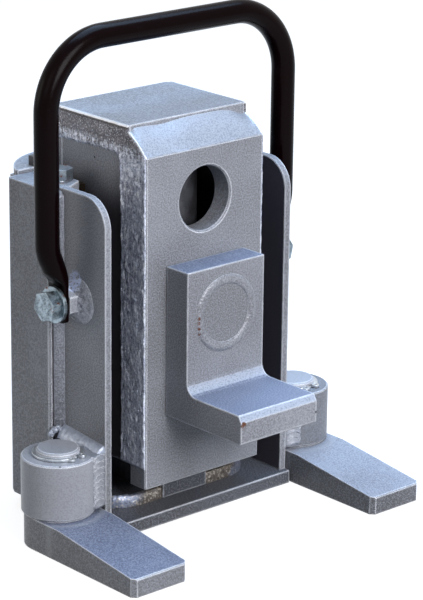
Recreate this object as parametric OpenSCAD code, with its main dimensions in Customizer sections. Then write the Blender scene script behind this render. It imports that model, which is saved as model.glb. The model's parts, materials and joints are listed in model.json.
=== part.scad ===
// Machine jack: a hydraulic jack whose casing slides up a fixed frame and lifts on its head or on a claw.
// The origin lies on the ground, below the axis of the ram. +X is to the right, +Y to the back, +Z up.

/* [Base] */
// Width over the outer faces of the two side plates
frame_w = 160; // [158:1:164]
// Thickness of the base plate
base_t = 9; // [6:0.5:12]
// Width of the tongue at the back of the base plate, below the pump
tongue_w = 70; // [60:1:76]
// Width of the foot plate below the cylinder
footplate_w = 128; // [110:1:136]
// Thickness of the foot plate below the cylinder
footplate_t = 7; // [5:0.5:9]
// Distance from the front of the base to the locating block and the foot plate's weld
footplate_setback = 18; // [16.5:0.5:20]
// Radius of the front corners of the foot plate
footplate_r = 26; // [16:1:32]
// Width of the locating block in front of the cylinder
key_w = 38; // [26:1:46]
// Depth of the locating block, before the cylinder's curve is cut into it
key_d = 10; // [8:0.5:12]
// Height of the locating block above the base plate
key_h = 15; // [11:0.5:17]

/* [Side plates] */
// Thickness of a side plate
side_t = 5; // [4:0.5:8]
// Height of the top edge of a side plate above the ground
side_top = 228.5; // [222:0.5:236]
// Distance from the front of the base to the side plates
side_setback = 4.5; // [2:0.5:8]
// Radius of the upper front corner of a side plate
side_corner_r = 20; // [10:1:30]

/* [Columns] */
// Width of a rear column across the jack
column_w = 30; // [26:0.5:34]
// Depth of a rear column from front to back
column_d = 42.5; // [38:0.5:46]
// How far a column stands out from its side plate
column_proud = 8.5; // [7:0.5:9.5]
// Height of the top of the columns above the ground
column_top = 227.5; // [222:0.5:230]
// Width of the bevel on the inner front corner of a column
column_bevel_w = 11.5; // [6:0.5:12]
// Depth of the bevel on the inner front corner of a column
column_bevel_d = 6; // [2:0.5:8]

/* [Casing] */
// Width of the sliding casing and of its front plate
casing_w = 100; // [97:0.5:102]
// Depth of the casing from its front face to its back face, and of the base plate below it
casing_d = 93; // [91:0.5:96]
// Thickness of the front plate
front_t = 15; // [12:0.5:16]
// Thickness of the casing's side walls
casing_wall_t = 9; // [7:0.5:10]
// Thickness of the casing's rear wall
casing_rear_t = 8; // [6:0.5:9]
// Height of the front plate's lower edge above the ground
front_bottom = 28.2; // [27:0.2:34]
// Height of the casing walls' lower edge above the ground
wall_bottom = 42; // [38:1:50]
// Height of the front plate's and the walls' upper edge
wall_top = 252; // [248:1:258]
// Radius of the two round holes that take the claw's peg
peg_hole_r = 21.5; // [17:0.5:22.5]
// Height of the lower peg hole
lower_hole_z = 145.4; // [142:0.2:148]
// Height of the upper peg hole
upper_hole_z = 217.7; // [214:0.1:222]
// Chamfer on the rim of a peg hole
hole_chamfer = 1.2; // [0.5:0.1:2]

/* [Head] */
// Thickness of the head block on top of the casing
head_t = 18.5; // [15:0.5:24]
// Width of the head block
head_w = 99; // [95:0.5:100]
// Distance from the casing's front face to the head block
head_setback = 17.6; // [15.4:0.1:20]
// Depth of the top of the sloped weld below the head block's top face
slope_drop = 3.5; // [2:0.5:6]

/* [Claw] */
// Width of the lifting claw
claw_w = 66; // [58:1:74]
// Thickness of the claw's upright plate
claw_plate_t = 20.4; // [16:0.2:24]
// Thickness of the claw's foot
claw_foot_t = 19.4; // [16:0.2:24]
// Height of the bevel along the nose of the claw's foot
claw_nose_h = 4.4; // [2:0.2:6]
// Depth of the bevel along the nose of the claw's foot
claw_nose_d = 2.8; // [2:0.2:6]
// Reach of the claw's foot from the casing's front face
claw_reach = 73.3; // [60:0.1:76]
// Height of the claw's underside above the ground
claw_bottom = 76.6; // [74:0.2:84]
// Height of the claw's upper edge above the ground
claw_top = 178.3; // [174:0.1:182]
// Radius of the fillet between the claw's plate and its foot
claw_fillet_r = 8; // [4:0.5:12]
// Gap between the claw and the front plate
claw_gap = 0.6; // [0.4:0.1:1.5]
// Outer radius of the round weld at the peg's end
peg_weld_r = 26; // [25:0.5:28]
// Clearance between the peg and its hole, on the radius
peg_clearance = 0.1; // [0.05:0.01:0.3]

/* [Swivel feet] */
// Outer diameter of a pivot barrel
barrel_d = 48.3; // [46:0.1:52]
// Length of a pivot barrel
barrel_len = 38; // [30:1:44]
// Distance from the front of the base to the pivot axes
pivot_setback = 23.4; // [22:0.2:26]
// Diameter of a pivot pin
pivot_d = 28.6; // [24:0.2:32]
// Height of a pivot pin above its barrel
pivot_proud = 4.8; // [4:0.2:8]
// Width of a foot
foot_w = 44.8; // [40:0.2:46]
// Thickness of a foot at its pivot
foot_t = 22; // [18:0.5:24]
// Thickness of a foot at its tip
foot_tip_t = 12.5; // [8:0.5:14]
// Length of a foot from its pivot axis to its tip
foot_len = 102.6; // [90:0.2:115]
// Gap between a foot and its barrel
foot_gap = 0.5; // [0.3:0.1:1]
// Clearance between a pivot pin and its barrel, on the radius
pivot_clearance = 0.05; // [0.03:0.01:0.1]
// Thickness of a retaining ring
ring_t = 1.6; // [1.2:0.1:2]

/* [Handle] */
// Diameter of the carrying handle's bar
handle_d = 16; // [14:0.5:17]
// Distance between the axes of the handle's two legs
handle_w = 202.4; // [202:0.4:208]
// Height of the handle's top bar above its pivot
handle_h = 169.8; // [166:0.2:176]
// Radius of the handle's upper bends, on the bar's axis
handle_bend_r = 45; // [30:1:55]
// Height of the handle's pivot above the ground
handle_pivot_z = 156.5; // [152:0.5:162]
// Distance from the front of the base to the handle's pivot
handle_setback = 36.5; // [34:0.5:38]
// Thickness of the handle's flattened ends
tab_t = 4; // [3:0.5:4.5]
// Width of the handle's flattened ends
tab_w = 17; // [16:0.5:21]
// Length of the handle's flattened ends below the pivot
tab_drop = 11.7; // [10:0.1:14]
// Nominal diameter of the handle bolts
bolt_d = 12; // [10:1:12]
// Width across flats of the bolt heads and nuts
bolt_af = 18; // [17:0.5:19]
// Length of a welded handle nut
nut_len = 10; // [9:0.5:10.5]

/* [Hydraulics] */
// Outer diameter of the cylinder
cylinder_d = 58; // [56:1:60]
// Bore of the cylinder
bore_d = 44; // [40:1:46]
// Distance from the top of the casing walls down to the top of the cylinder
cylinder_drop = 14; // [11:1:20]
// Thickness of the cylinder's closed bottom
cylinder_floor = 14; // [12:1:20]
// Diameter of the ram
ram_d = 34; // [28:1:36]
// Height of the piston
piston_h = 22; // [16:1:28]
// Depth of the threaded cylinder head
gland_h = 30; // [24:1:34]
// Lift of the casing
stroke = 125; // [100:1:130]
// Running clearance of rods, pistons and pins, on the radius
run_clearance = 0.05; // [0.03:0.01:0.1]

/* [Reservoir] */
// Depth of the oil reservoir behind the back plate
tank_d = 22.8; // [18:0.1:26]
// Distance from a column's outer face to the side of the reservoir and of the back plate
tank_inset = 8.5; // [8:0.5:14]
// Radius of the reservoir's rear corners
tank_r = 49; // [40:0.5:52]
// How far the curve of a rear corner would pass the reservoir's side
tank_overrun = 4.6; // [3:0.2:6]
// Wall of the reservoir
tank_wall = 3; // [2:0.5:5]
// Height of the reservoir's floor above the ground
tank_bottom = 112; // [108:1:124]
// Height of the lid's upper face above the ground
lid_top = 230.5; // [229:0.5:234]
// Thickness of the reservoir's lid
lid_t = 4; // [2.5:0.5:6]
// Thickness of the plate between the columns' backs and the reservoir
back_t = 8; // [6:0.5:10]

/* [Pump] */
// Width of the pump block
pump_w = 76; // [72:1:84]
// Depth of the pump block
pump_d = 48; // [46:1:52]
// Height of the pump block's upper face above the ground
pump_top = 56; // [53:0.5:58]
// Diameter of the pump plunger
plunger_d = 14; // [12:0.5:15]
// Distance between the axes of the lever's pivot and of the plunger
lever_arm = 23; // [22:0.5:24]
// Height of the lever's pivot above the ground
fulcrum_z = 84; // [83:0.5:88]
// Swing of the lever socket from its upper stop to its lower stop
lever_swing = 45; // [30:1:45]
// Inner diameter of the lever socket
socket_bore_d = 25.2; // [22:0.2:26]
// Wall of the lever socket
socket_wall = 3; // [2.5:0.5:4]
// Length of the lever socket
socket_len = 75; // [60:1:80]
// Diameter of the lever's pivot pin and of the plunger's pin
lever_pin_d = 10; // [8:0.5:11]
// Diameter of the release valve's spindle
valve_d = 12; // [10:0.5:13]

/* [Welds] */
// Leg of the frame's fillet welds
weld_leg = 5; // [3:0.5:6]
// Width of the weld strips on the casing's front corners
strip_w = 24; // [18:1:28]
// Height of the weld strips above the casing's faces
strip_h = 1.6; // [1:0.1:2.2]
// Height of the fat bead on the foot plate's edge
footplate_bead_h = 8.6; // [6:0.2:9.4]

/* [Hidden] */

// Faces and axes along Y: two thirds of the room beside the cylinder lie in front of it
casing_room = casing_d - front_t - casing_rear_t - cylinder_d;
front_y = -(cylinder_d/2 + 2*casing_room/3 + front_t);
casing_back_y = front_y + casing_d;
casing_play = 0.5;
key_front_y = front_y + footplate_setback;
key_back_y = key_front_y + key_d;
column_back_y = casing_back_y + casing_play;
column_front_y = column_back_y - column_d;
side_front_y = front_y + side_setback;
tank_front_y = column_back_y + back_t;
tank_back_y = tank_front_y + tank_d;
head_front_y = front_y + head_setback;
pivot_y = front_y + pivot_setback;
handle_y = front_y + handle_setback;

// Faces and axes along X
side_out = frame_w/2;
side_in = side_out - side_t;
column_out = side_out + column_proud;
column_in = column_out - column_w;
pivot_x = side_out + barrel_d/2;
tank_half = column_out - tank_inset;
tank_corner_x = tank_half + tank_overrun - tank_r;
wall_out = casing_w/2;
slide_gap = 0.3;
guide_margin = 4;
guide_rise = 18;

// Levels
barrel_bottom = foot_t + foot_gap;
barrel_top = barrel_bottom + barrel_len;
pin_top = barrel_top + pivot_proud;
footplate_top = base_t + footplate_t;
head_top = wall_top + head_t;

// Number of sides drawn on round parts
round_fn = 72;
loft_fn = 32;

// Base
footplate_bead_w = 2.4;
footplate_front_y = key_front_y + footplate_bead_w;

// Handle fixings
nut_face_x = side_out + nut_len;
washer_t = 2.5;
washer_x = nut_face_x + tab_t + 2*slide_gap;
bolt_head_h = 7.5;
tab_x = nut_face_x + slide_gap + tab_t/2;
jog_r = 26;
jog_angle = 30;
jog_top_z = 41;
tab_top_z = bolt_d + 1;

// Cylinder and ram
cylinder_top = wall_top - cylinder_drop;
pipe_r = 5;
port_r = 2;
pipe_rise = 7;
pipe_z = footplate_top + pipe_rise;
pipe_seat = 8;
bore_bottom = footplate_top + cylinder_floor;
gland_bottom = cylinder_top - gland_h;
gland_r = bore_d/2 + 2;
flange_h = 5;
flange_r = (cylinder_d - 4)/2;
wiper_h = 4;
wiper_r = ram_d/2 + 3.5;
piston_bottom = bore_bottom + 0.5;
piston_top = piston_bottom + piston_h;
seal_h = 5;
seal_z = piston_bottom + (piston_h - seal_h)/2;
seal_depth = 4;
spigot_r = 10;
spigot_h = 6;

// Reservoir's fittings
breather_inset = 14;
breather_w = 9;
breather_d = 6;
breather_h = 6.4;
plug_inset = 8.8;
plug_af = 15;
plug_h = 8.5;

// Pump
pump_back_y = tank_front_y + pump_d;
fulcrum_behind = 14;
fulcrum_y = tank_front_y + fulcrum_behind;
plunger_y = fulcrum_y + lever_arm;
pump_corner_r = 8;
arm_rest = lever_swing/2;
plunger_stroke = 2*lever_arm*tan(arm_rest);
plunger_pin_z = fulcrum_z + plunger_stroke/2;
pump_floor_t = 9;
plunger_floor = base_t + pump_floor_t;
plunger_bottom = plunger_floor + plunger_stroke + 1;
plunger_gland_wall = 5;
plunger_gland_r = plunger_d/2 + plunger_gland_wall;
plunger_gland_h = 12;
plunger_gland_proud = 4;
valve_bore_z = plunger_floor + 3;
valve_bore_r = 5;
valve_seat_x = 16;
valve_plug_len = 12;
valve_plug_af = 13;
valve_plug_head = 5;
pipe_x = 30;
pipe_behind = 9;
pipe_y = tank_front_y + pipe_behind;
release_x = 26;
release_z = 40;
release_depth = 20;

// Lever: its eye on the plunger, its cheeks beside the eye and the ears outside the cheeks
eye_half = 7;
eye_r = 12;
cheek_r = eye_r - 1;
cheek_grip = 9;
socket_ahead = 17;
socket_y = lever_arm + socket_ahead;
socket_z = 10;
socket_floor = 6;
slot_play = 0.35;
slot_over = 0.4;
socket_angle = 52.5;
cheek_t = 5;
ear_t = 6;
cheek_in = eye_half + slide_gap;
cheek_out = cheek_in + cheek_t;
ear_in = cheek_out + slide_gap;
ear_out = ear_in + ear_t;

// Claw
claw_back_y = front_y - claw_gap;
claw_front_y = claw_back_y - claw_plate_t;
claw_tip_y = front_y - claw_reach;
peg_r = peg_hole_r - peg_clearance;

// Retaining rings, and the gap left to the bead on the barrel's top
bead_to_ring = 1.25;
ring_z = barrel_top + 0.4;
ring_in_r = pivot_d/2 - 1.2;
ring_out_r = pivot_d/2 + 2.6;

// Block from its lowest to its highest corner
module box(low, high) {
    translate(low) cube(high - low);
}

// Round bar along Z between two levels
module rod(r, z0, z1) {
    translate([0, 0, z0]) cylinder(r = r, h = z1 - z0, $fn = round_fn);
}

// Round bar along Z with a chamfer at its upper end
module chamfered_rod(r, z0, z1, c) {
    rotate_extrude($fn = round_fn)
        polygon([[0, z0], [r, z0], [r, z1 - c], [r - c, z1], [0, z1]]);
}

// Tube along Z
module tube(r_out, r_in, z0, z1) {
    rotate_extrude($fn = round_fn)
        polygon([[r_in, z0], [r_out, z0], [r_out, z1], [r_in, z1]]);
}

// Hexagonal bar along Z
module hexagon(af, h) {
    cylinder(r = af/2/cos(30), h = h, $fn = 6);
}

// Hexagonal bolt head along Z, with its corners turned off at the upper end
module bolt_head(af, h) {
    intersection() {
        hexagon(af, h);
        rotate_extrude($fn = round_fn)
            polygon([[0, 0], [af, 0], [af, h - 0.08*af], [af/2 - 0.6, h], [0, h]]);
    }
}

// Turns a shape so that its own +Z points along +X
module along_x() {
    rotate([0, 90, 0]) children();
}

// Turns a shape so that its own +Z points along +Y
module along_y() {
    rotate([-90, 0, 0]) children();
}

// Extrudes an outline drawn in Y and Z along +X
module extrude_x(width) {
    rotate([90, 0, 90]) linear_extrude(width) children();
}

// A shape and its mirror image on the other side of the jack
module both_sides() {
    children();
    mirror([1, 0, 0]) children();
}

// Section of a fillet bead: its corner lies at the origin, and its legs run along +X and +Y
module fillet_section(leg) {
    bulge = 0.3*leg;
    polygon(concat([[0, 0]],
        [for (i = [0 : 6]) let (t = i/6, b = 4*bulge*t*(1 - t)/sqrt(2)) [leg*(1 - t) + b, leg*t + b]]));
}

// Section of a flat weld cap on the line x = 0, from y = 0 to y = width
module cap_section(width, height) {
    polygon([for (i = [0 : 12]) let (t = i/12) [height*pow(sin(180*t), 0.5), width*t]]);
}

// Outline of a block with a straight front and two round rear corners, centred at x = -centre and x = centre
module rear_outline(half, y0, y1, r, centre) {
    intersection() {
        translate([-half, y0]) square([2*half, y1 - y0]);
        union() {
            translate([-centre, y0 - r]) square([2*centre, y1 - y0 + r]);
            translate([-half, y0 - r]) square([2*half, y1 - y0]);
            for (side = [-1, 1])
                translate([side*centre, y1 - r]) circle(r = r, $fn = round_fn);
        }
    }
}

// Base

module base_plate() {
    color([0.55, 0.56, 0.58])
        union() {
            box([-side_out, front_y, 0], [side_out, casing_back_y, base_t]);
            box([-tongue_w/2, casing_back_y - 1, 0], [tongue_w/2, pump_back_y, base_t]);
        }
}

// Plan of the foot plate: wide in front of the columns, narrow between them
module footplate_outline() {
    half = footplate_w/2;
    r = footplate_r;
    narrow = column_in - 1;
    wide_d = column_front_y - 1 - footplate_front_y;
    union() {
        intersection() {
            translate([-half, footplate_front_y]) square([2*half, wide_d]);
            union() {
                translate([-half, footplate_front_y + r]) square([2*half, wide_d]);
                translate([-half + r, footplate_front_y]) square([2*(half - r), wide_d]);
                for (side = [-1, 1])
                    translate([side*(half - r), footplate_front_y + r]) circle(r = r, $fn = round_fn);
            }
        }
        translate([-narrow, column_front_y - 2]) square([2*narrow, column_back_y - column_front_y]);
    }
}

module foot_plate() {
    color([0.52, 0.53, 0.55])
        difference() {
            translate([0, 0, base_t]) linear_extrude(footplate_t) footplate_outline();
            box([-key_w/2, front_y, base_t - 1], [key_w/2, key_back_y, footplate_top + 1]);
        }
}

module locating_block() {
    color([0.50, 0.51, 0.53])
        difference() {
            box([-key_w/2, key_front_y, base_t], [key_w/2, key_back_y, base_t + key_h]);
            rod(cylinder_d/2 + slide_gap, base_t - 1, base_t + key_h + 1);
        }
}

// Section of the fat bead on the foot plate's edge, which bulges towards -x from the line x = 0
module footplate_bead_section() {
    polygon(concat([[0, 0], [-footplate_bead_w*0.7, 0]],
        [for (i = [1 : 6]) let (a = 15*i) [-footplate_bead_w*cos(a), footplate_bead_h*sin(a)]],
        [[2, footplate_bead_h - 0.4], [2.5, footplate_t], [0, footplate_t]]));
}

module base_welds() {
    half = footplate_w/2;
    r = footplate_r;
    color([0.58, 0.52, 0.42])
        both_sides()
            union() {
                translate([key_w/2, footplate_front_y, base_t])
                    extrude_x(half - r - key_w/2) footplate_bead_section();
                translate([half - r, footplate_front_y + r, base_t])
                    rotate([0, 0, -90]) rotate_extrude(angle = 62, $fn = round_fn)
                        translate([r, 0]) mirror([1, 0]) footplate_bead_section();
            }
}

// Side plates and columns

// Side plate in the right-hand position
module side_plate() {
    r = side_corner_r;
    depth = column_front_y - side_front_y;
    height = side_top - base_t;
    translate([side_in, side_front_y, base_t])
        extrude_x(side_t)
            union() {
                square([depth, height - r]);
                translate([r, 0]) square([depth - r, height]);
                translate([r, height - r]) circle(r = r, $fn = round_fn);
            }
}

module right_side_plate() {
    color([0.50, 0.51, 0.53]) side_plate();
}

module left_side_plate() {
    color([0.50, 0.51, 0.53]) mirror([1, 0, 0]) side_plate();
}

// Rear column in the right-hand position, with its lower rear edge bevelled
module column() {
    edge = 1.5;
    bevel = 4;
    difference() {
        translate([0, 0, base_t])
            linear_extrude(column_top - base_t)
                polygon([[column_in + column_bevel_w, column_front_y], [column_out - edge, column_front_y],
                    [column_out, column_front_y + edge], [column_out, column_back_y - edge],
                    [column_out - edge, column_back_y], [column_in, column_back_y],
                    [column_in, column_front_y + column_bevel_d]]);
        translate([side_out, 0, 0])
            extrude_x(column_proud + 1)
                polygon([[column_back_y - bevel, base_t - 1], [column_back_y + 1, base_t - 1],
                    [column_back_y + 1, base_t + bevel + 1]]);
    }
}

module right_column() {
    color([0.42, 0.42, 0.43]) column();
}

module left_column() {
    color([0.42, 0.42, 0.43]) mirror([1, 0, 0]) column();
}

// Bronze strips on which the casing slides, one on each column
module guide_strips() {
    front = column_front_y + column_bevel_d + guide_margin;
    color([0.55, 0.45, 0.28])
        both_sides()
            box([wall_out + slide_gap, front, wall_bottom + guide_rise],
                [column_in, column_back_y - guide_margin, column_top - guide_margin]);
}

module back_plate() {
    color([0.45, 0.45, 0.46])
        difference() {
            box([-tank_half, column_back_y, base_t], [tank_half, tank_front_y, lid_top - lid_t]);
            translate([0, column_back_y - 1, pipe_z]) along_y() rod(pipe_r, 0, back_t + 2);
        }
}

// Pivot barrel in the right-hand position
module barrel() {
    hole_r = pivot_d/2 + pivot_clearance;
    r = barrel_d/2;
    edge = 0.8;
    rim = 1;
    translate([pivot_x, pivot_y, 0])
        rotate_extrude($fn = round_fn)
            polygon([[hole_r, barrel_bottom], [r - edge, barrel_bottom], [r, barrel_bottom + edge],
                [r, barrel_top - edge], [r - edge, barrel_top], [hole_r + rim, barrel_top],
                [hole_r, barrel_top - rim]]);
}

module right_barrel() {
    color([0.56, 0.57, 0.60]) barrel();
}

module left_barrel() {
    color([0.56, 0.57, 0.60]) mirror([1, 0, 0]) barrel();
}

// Beads in the grooves between a barrel and its side plate. The front one is flush with the plate's front edge.
module groove_beads() {
    r = barrel_d/2;
    front_reach = 0.87*r;
    front_skin = r - sqrt(r*r - front_reach*front_reach);
    plate_reach = pivot_y - side_front_y;
    front_middle = (plate_reach + front_reach)/2 + 0.6;
    rear_reach = 0.66*r;
    rear_skin = r - sqrt(r*r - rear_reach*rear_reach);
    hidden = 4;
    translate([side_out, pivot_y, barrel_bottom + foot_gap])
        linear_extrude(barrel_len - foot_gap)
            difference() {
                union() {
                    polygon([[0, -hidden], [0, -plate_reach], [0.5*front_skin, -front_middle],
                        [front_skin, -front_reach], [front_skin, -hidden]]);
                    polygon([[0, hidden], [0, rear_reach + 1.5], [0.5*rear_skin, rear_reach + 1],
                        [rear_skin, rear_reach - 1], [rear_skin, hidden]]);
                }
                translate([r, 0]) circle(r = r, $fn = round_fn);
            }
}

// Bead on a barrel's top face along its side plate, which rises towards the column
module barrel_top_bead() {
    leg = barrel_d/2 - ring_out_r - bead_to_ring;
    y0 = side_front_y + 1;
    y1 = column_front_y - weld_leg;
    intersection() {
        translate([side_out, y0, barrel_top])
            along_y() mirror([0, 1, 0]) linear_extrude(y1 - y0) fillet_section(leg);
        translate([side_out, 0, barrel_top])
            extrude_x(2*leg) polygon([[y0, 0], [y1, 0], [y1, leg + 1], [y0, 1]]);
    }
}

module frame_welds() {
    bead_top = column_top - 2;
    color([0.60, 0.60, 0.62])
        both_sides() {
            translate([side_out, column_front_y, barrel_top + 1])
                mirror([0, 1, 0]) linear_extrude(bead_top - barrel_top - 1) fillet_section(weld_leg);
            translate([side_in, column_front_y, footplate_top])
                mirror([1, 0, 0]) mirror([0, 1, 0])
                    linear_extrude(bead_top - footplate_top) fillet_section(0.8*weld_leg);
            barrel_top_bead();
            groove_beads();
        }
}

// Handle fixings

// Nut with the flat weld that holds it to the side plate, wider in front of the nut
module handle_nuts() {
    collar_r = bolt_af/2 + 5.5;
    collar_h = 2.2;
    collar_shift = 4.5;
    color([0.58, 0.59, 0.60])
        both_sides()
            difference() {
                translate([side_out, handle_y, handle_pivot_z])
                    along_x()
                        union() {
                            hexagon(bolt_af, nut_len);
                            translate([0, -collar_shift, 0])
                                rotate_extrude($fn = round_fn)
                                    polygon([[0, 0], [collar_r, 0], [0.8*collar_r, 0.6*collar_h],
                                        [0.6*collar_r, collar_h], [0, collar_h]]);
                        }
                translate([side_out, handle_y, handle_pivot_z]) along_x() rod(bolt_d/2, -1, nut_len + 1);
                box([side_out - 1, column_front_y - weld_leg, handle_pivot_z - bolt_af],
                    [nut_face_x, column_front_y, handle_pivot_z + bolt_af]);
            }
}

module handle_bolts() {
    head_x = washer_x + washer_t;
    color([0.66, 0.70, 0.72])
        both_sides()
            translate([0, handle_y, handle_pivot_z])
                union() {
                    along_x() rod(bolt_d/2, side_out, head_x + 1);
                    translate([head_x, 0, 0])
                        along_x() rotate([0, 0, 12]) bolt_head(bolt_af, bolt_head_h);
                }
}

module handle_washers() {
    color([0.70, 0.72, 0.73])
        both_sides()
            translate([washer_x, handle_y, handle_pivot_z]) along_x() tube(bolt_d, bolt_d/2, 0, washer_t);
}

// Hydraulic cylinder and ram

module hydraulic_cylinder() {
    color([0.30, 0.31, 0.33])
        difference() {
            rod(cylinder_d/2, footplate_top, cylinder_top);
            rod(bore_d/2, bore_bottom, gland_bottom + 1);
            rod(gland_r, gland_bottom, cylinder_top + 1);
            rod(port_r, pipe_z, bore_bottom + 1);
            translate([0, 0, pipe_z]) along_y() rod(port_r, 0, cylinder_d);
            translate([0, cylinder_d/2 - pipe_seat, pipe_z]) along_y() rod(pipe_r, 0, cylinder_d);
        }
}

// Screwed head that guides the ram, with a flange and two holes for a pin spanner
module cylinder_head() {
    ram_hole_r = ram_d/2 + run_clearance;
    flange_top = cylinder_top + flange_h;
    wiper_z = flange_top - wiper_h;
    spanner_hole_r = 1.8;
    color([0.45, 0.46, 0.48])
        difference() {
            rotate_extrude($fn = round_fn)
                polygon([[ram_hole_r, gland_bottom], [gland_r, gland_bottom], [gland_r, cylinder_top],
                    [flange_r, cylinder_top], [flange_r, flange_top - 1], [flange_r - 1, flange_top],
                    [wiper_r, flange_top], [wiper_r, wiper_z], [ram_hole_r, wiper_z]]);
            for (side = [-1, 1])
                translate([side*(flange_r + wiper_r)/2, 0, 0])
                    rod(spanner_hole_r, cylinder_top + 1, flange_top + 1);
        }
}

module wiper_ring() {
    z1 = cylinder_top + flange_h;
    color([0.12, 0.12, 0.13]) tube(wiper_r, ram_d/2 + run_clearance, z1 - wiper_h, z1);
}

module pressure_pipe() {
    y0 = cylinder_d/2 - pipe_seat;
    color([0.45, 0.46, 0.48])
        translate([0, y0, pipe_z]) along_y() tube(pipe_r, port_r, 0, tank_front_y + pipe_seat - y0);
}

module ram() {
    r = ram_d/2;
    color([0.75, 0.76, 0.78])
        rotate_extrude($fn = round_fn)
            polygon([[0, piston_bottom], [spigot_r, piston_bottom], [spigot_r, piston_top], [r, piston_top],
                [r, wall_top], [spigot_r, wall_top], [spigot_r, wall_top + spigot_h],
                [0, wall_top + spigot_h]]);
}

module piston() {
    r = bore_d/2 - run_clearance;
    groove_r = r - seal_depth;
    color([0.50, 0.50, 0.52])
        rotate_extrude($fn = round_fn)
            polygon([[spigot_r, piston_bottom], [r - 1, piston_bottom], [r, piston_bottom + 1], [r, seal_z],
                [groove_r, seal_z], [groove_r, seal_z + seal_h], [r, seal_z + seal_h], [r, piston_top],
                [spigot_r, piston_top]]);
}

module piston_seal() {
    r = bore_d/2 - run_clearance;
    color([0.10, 0.10, 0.10]) tube(r, r - seal_depth, seal_z, seal_z + seal_h);
}

// Reservoir

module reservoir() {
    floor_top = tank_bottom + tank_wall;
    color([0.45, 0.46, 0.48])
        difference() {
            translate([0, 0, tank_bottom])
                linear_extrude(lid_top - lid_t - tank_bottom)
                    rear_outline(tank_half, tank_front_y, tank_back_y, tank_r, tank_corner_x);
            translate([0, 0, floor_top])
                linear_extrude(lid_top)
                    rear_outline(tank_half - tank_wall, tank_front_y + tank_wall, tank_back_y - tank_wall,
                        tank_r - tank_wall, tank_corner_x);
            for (side = [-1, 1])
                translate([side*pipe_x, pipe_y, 0]) rod(pipe_r, tank_bottom - 1, floor_top + 1);
        }
}

module reservoir_lid() {
    color([0.62, 0.66, 0.72])
        translate([0, 0, lid_top - lid_t])
            linear_extrude(lid_t) rear_outline(tank_half, column_back_y, tank_back_y, tank_r, tank_corner_x);
}

// Small square breather at the lid's front edge, with a vent hole in its top
module breather() {
    vent_r = 1.5;
    color([0.16, 0.16, 0.18])
        translate([breather_inset - tank_half, column_back_y + 0.5, lid_top])
            difference() {
                cube([breather_w, breather_d, breather_h]);
                translate([breather_w/2, breather_d/2, 0]) rod(vent_r, breather_h - 4, breather_h + 1);
            }
}

// Screwed plug on top of the left column, near its inner front corner
module column_plug() {
    color([0.55, 0.57, 0.58])
        translate([-column_in - plug_inset, column_front_y + column_bevel_d + plug_inset, column_top])
            union() {
                rod(plug_af/2 + 0.5, 0, 1.5);
                rotate([0, 0, 20]) bolt_head(plug_af, plug_h);
            }
}

// Pump

module pump_block() {
    half = pump_w/2;
    valve_bore_len = half - valve_seat_x;
    color([0.36, 0.37, 0.39])
        difference() {
            translate([0, 0, base_t])
                linear_extrude(pump_top - base_t)
                    rear_outline(half, tank_front_y, pump_back_y, pump_corner_r, half - pump_corner_r);
            translate([0, plunger_y, 0]) rod(plunger_d/2 + run_clearance, plunger_floor, pump_top + 1);
            translate([0, plunger_y, 0]) rod(plunger_gland_r, pump_top - plunger_gland_h, pump_top + 1);
            translate([0, tank_front_y - 1, pipe_z]) along_y() rod(port_r, 0, plunger_y - tank_front_y);
            translate([0, tank_front_y - 1, pipe_z]) along_y() rod(pipe_r, 0, pipe_seat + 1);
            translate([-pump_w, plunger_y, valve_bore_z]) along_x() rod(port_r, 0, 2*pump_w);
            for (side = [-1, 1]) {
                translate([side*(valve_seat_x + valve_bore_len), plunger_y, valve_bore_z])
                    along_x() rod(valve_bore_r, -valve_bore_len, valve_bore_len);
                translate([side*pipe_x, pipe_y, 0]) rod(pipe_r, pump_top - pipe_seat, pump_top + 1);
            }
            translate([release_x, pump_back_y + 1, release_z])
                along_y() rod(valve_d/2 + run_clearance, -release_depth - 1, 1);
        }
}

module plunger_gland() {
    z0 = pump_top - plunger_gland_h;
    color([0.55, 0.50, 0.36])
        translate([0, plunger_y, 0])
            difference() {
                rod(plunger_gland_r, z0, pump_top + plunger_gland_proud);
                rod(plunger_d/2 + run_clearance, z0 - 1, pump_top + plunger_gland_proud + 1);
            }
}

// Two balls, one at the inlet and one at the outlet of the pump
module check_balls() {
    r = valve_bore_r - 1;
    color([0.75, 0.76, 0.78])
        both_sides()
            translate([valve_seat_x + r + 0.2, plunger_y, valve_bore_z - 0.8]) sphere(r = r, $fn = 48);
}

module valve_plugs() {
    color([0.50, 0.51, 0.53])
        both_sides()
            translate([pump_w/2, plunger_y, valve_bore_z])
                along_x()
                    union() {
                        rod(valve_bore_r, -valve_plug_len, 1);
                        bolt_head(valve_plug_af, valve_plug_head);
                    }
}

// Suction pipe and return pipe between the reservoir and the pump block
module oil_pipes() {
    color([0.45, 0.46, 0.48])
        both_sides()
            translate([pipe_x, pipe_y, 0]) tube(pipe_r, 3, pump_top - pipe_seat, tank_bottom + tank_wall);
}

// The two ears that carry the lever's pivot pin
module lever_bracket() {
    color([0.36, 0.37, 0.39])
        both_sides()
            translate([ear_in, 0, 0])
                difference() {
                    extrude_x(ear_t)
                        union() {
                            translate([tank_front_y, pump_top]) square([fulcrum_y + eye_r - tank_front_y,
                                fulcrum_z - pump_top]);
                            translate([tank_front_y, pump_top]) square([fulcrum_y - tank_front_y,
                                fulcrum_z + eye_r - pump_top]);
                            translate([fulcrum_y, fulcrum_z]) circle(r = eye_r, $fn = round_fn);
                        }
                    translate([-1, fulcrum_y, fulcrum_z]) along_x() rod(lever_pin_d/2, 0, ear_t + 2);
                }
}

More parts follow.
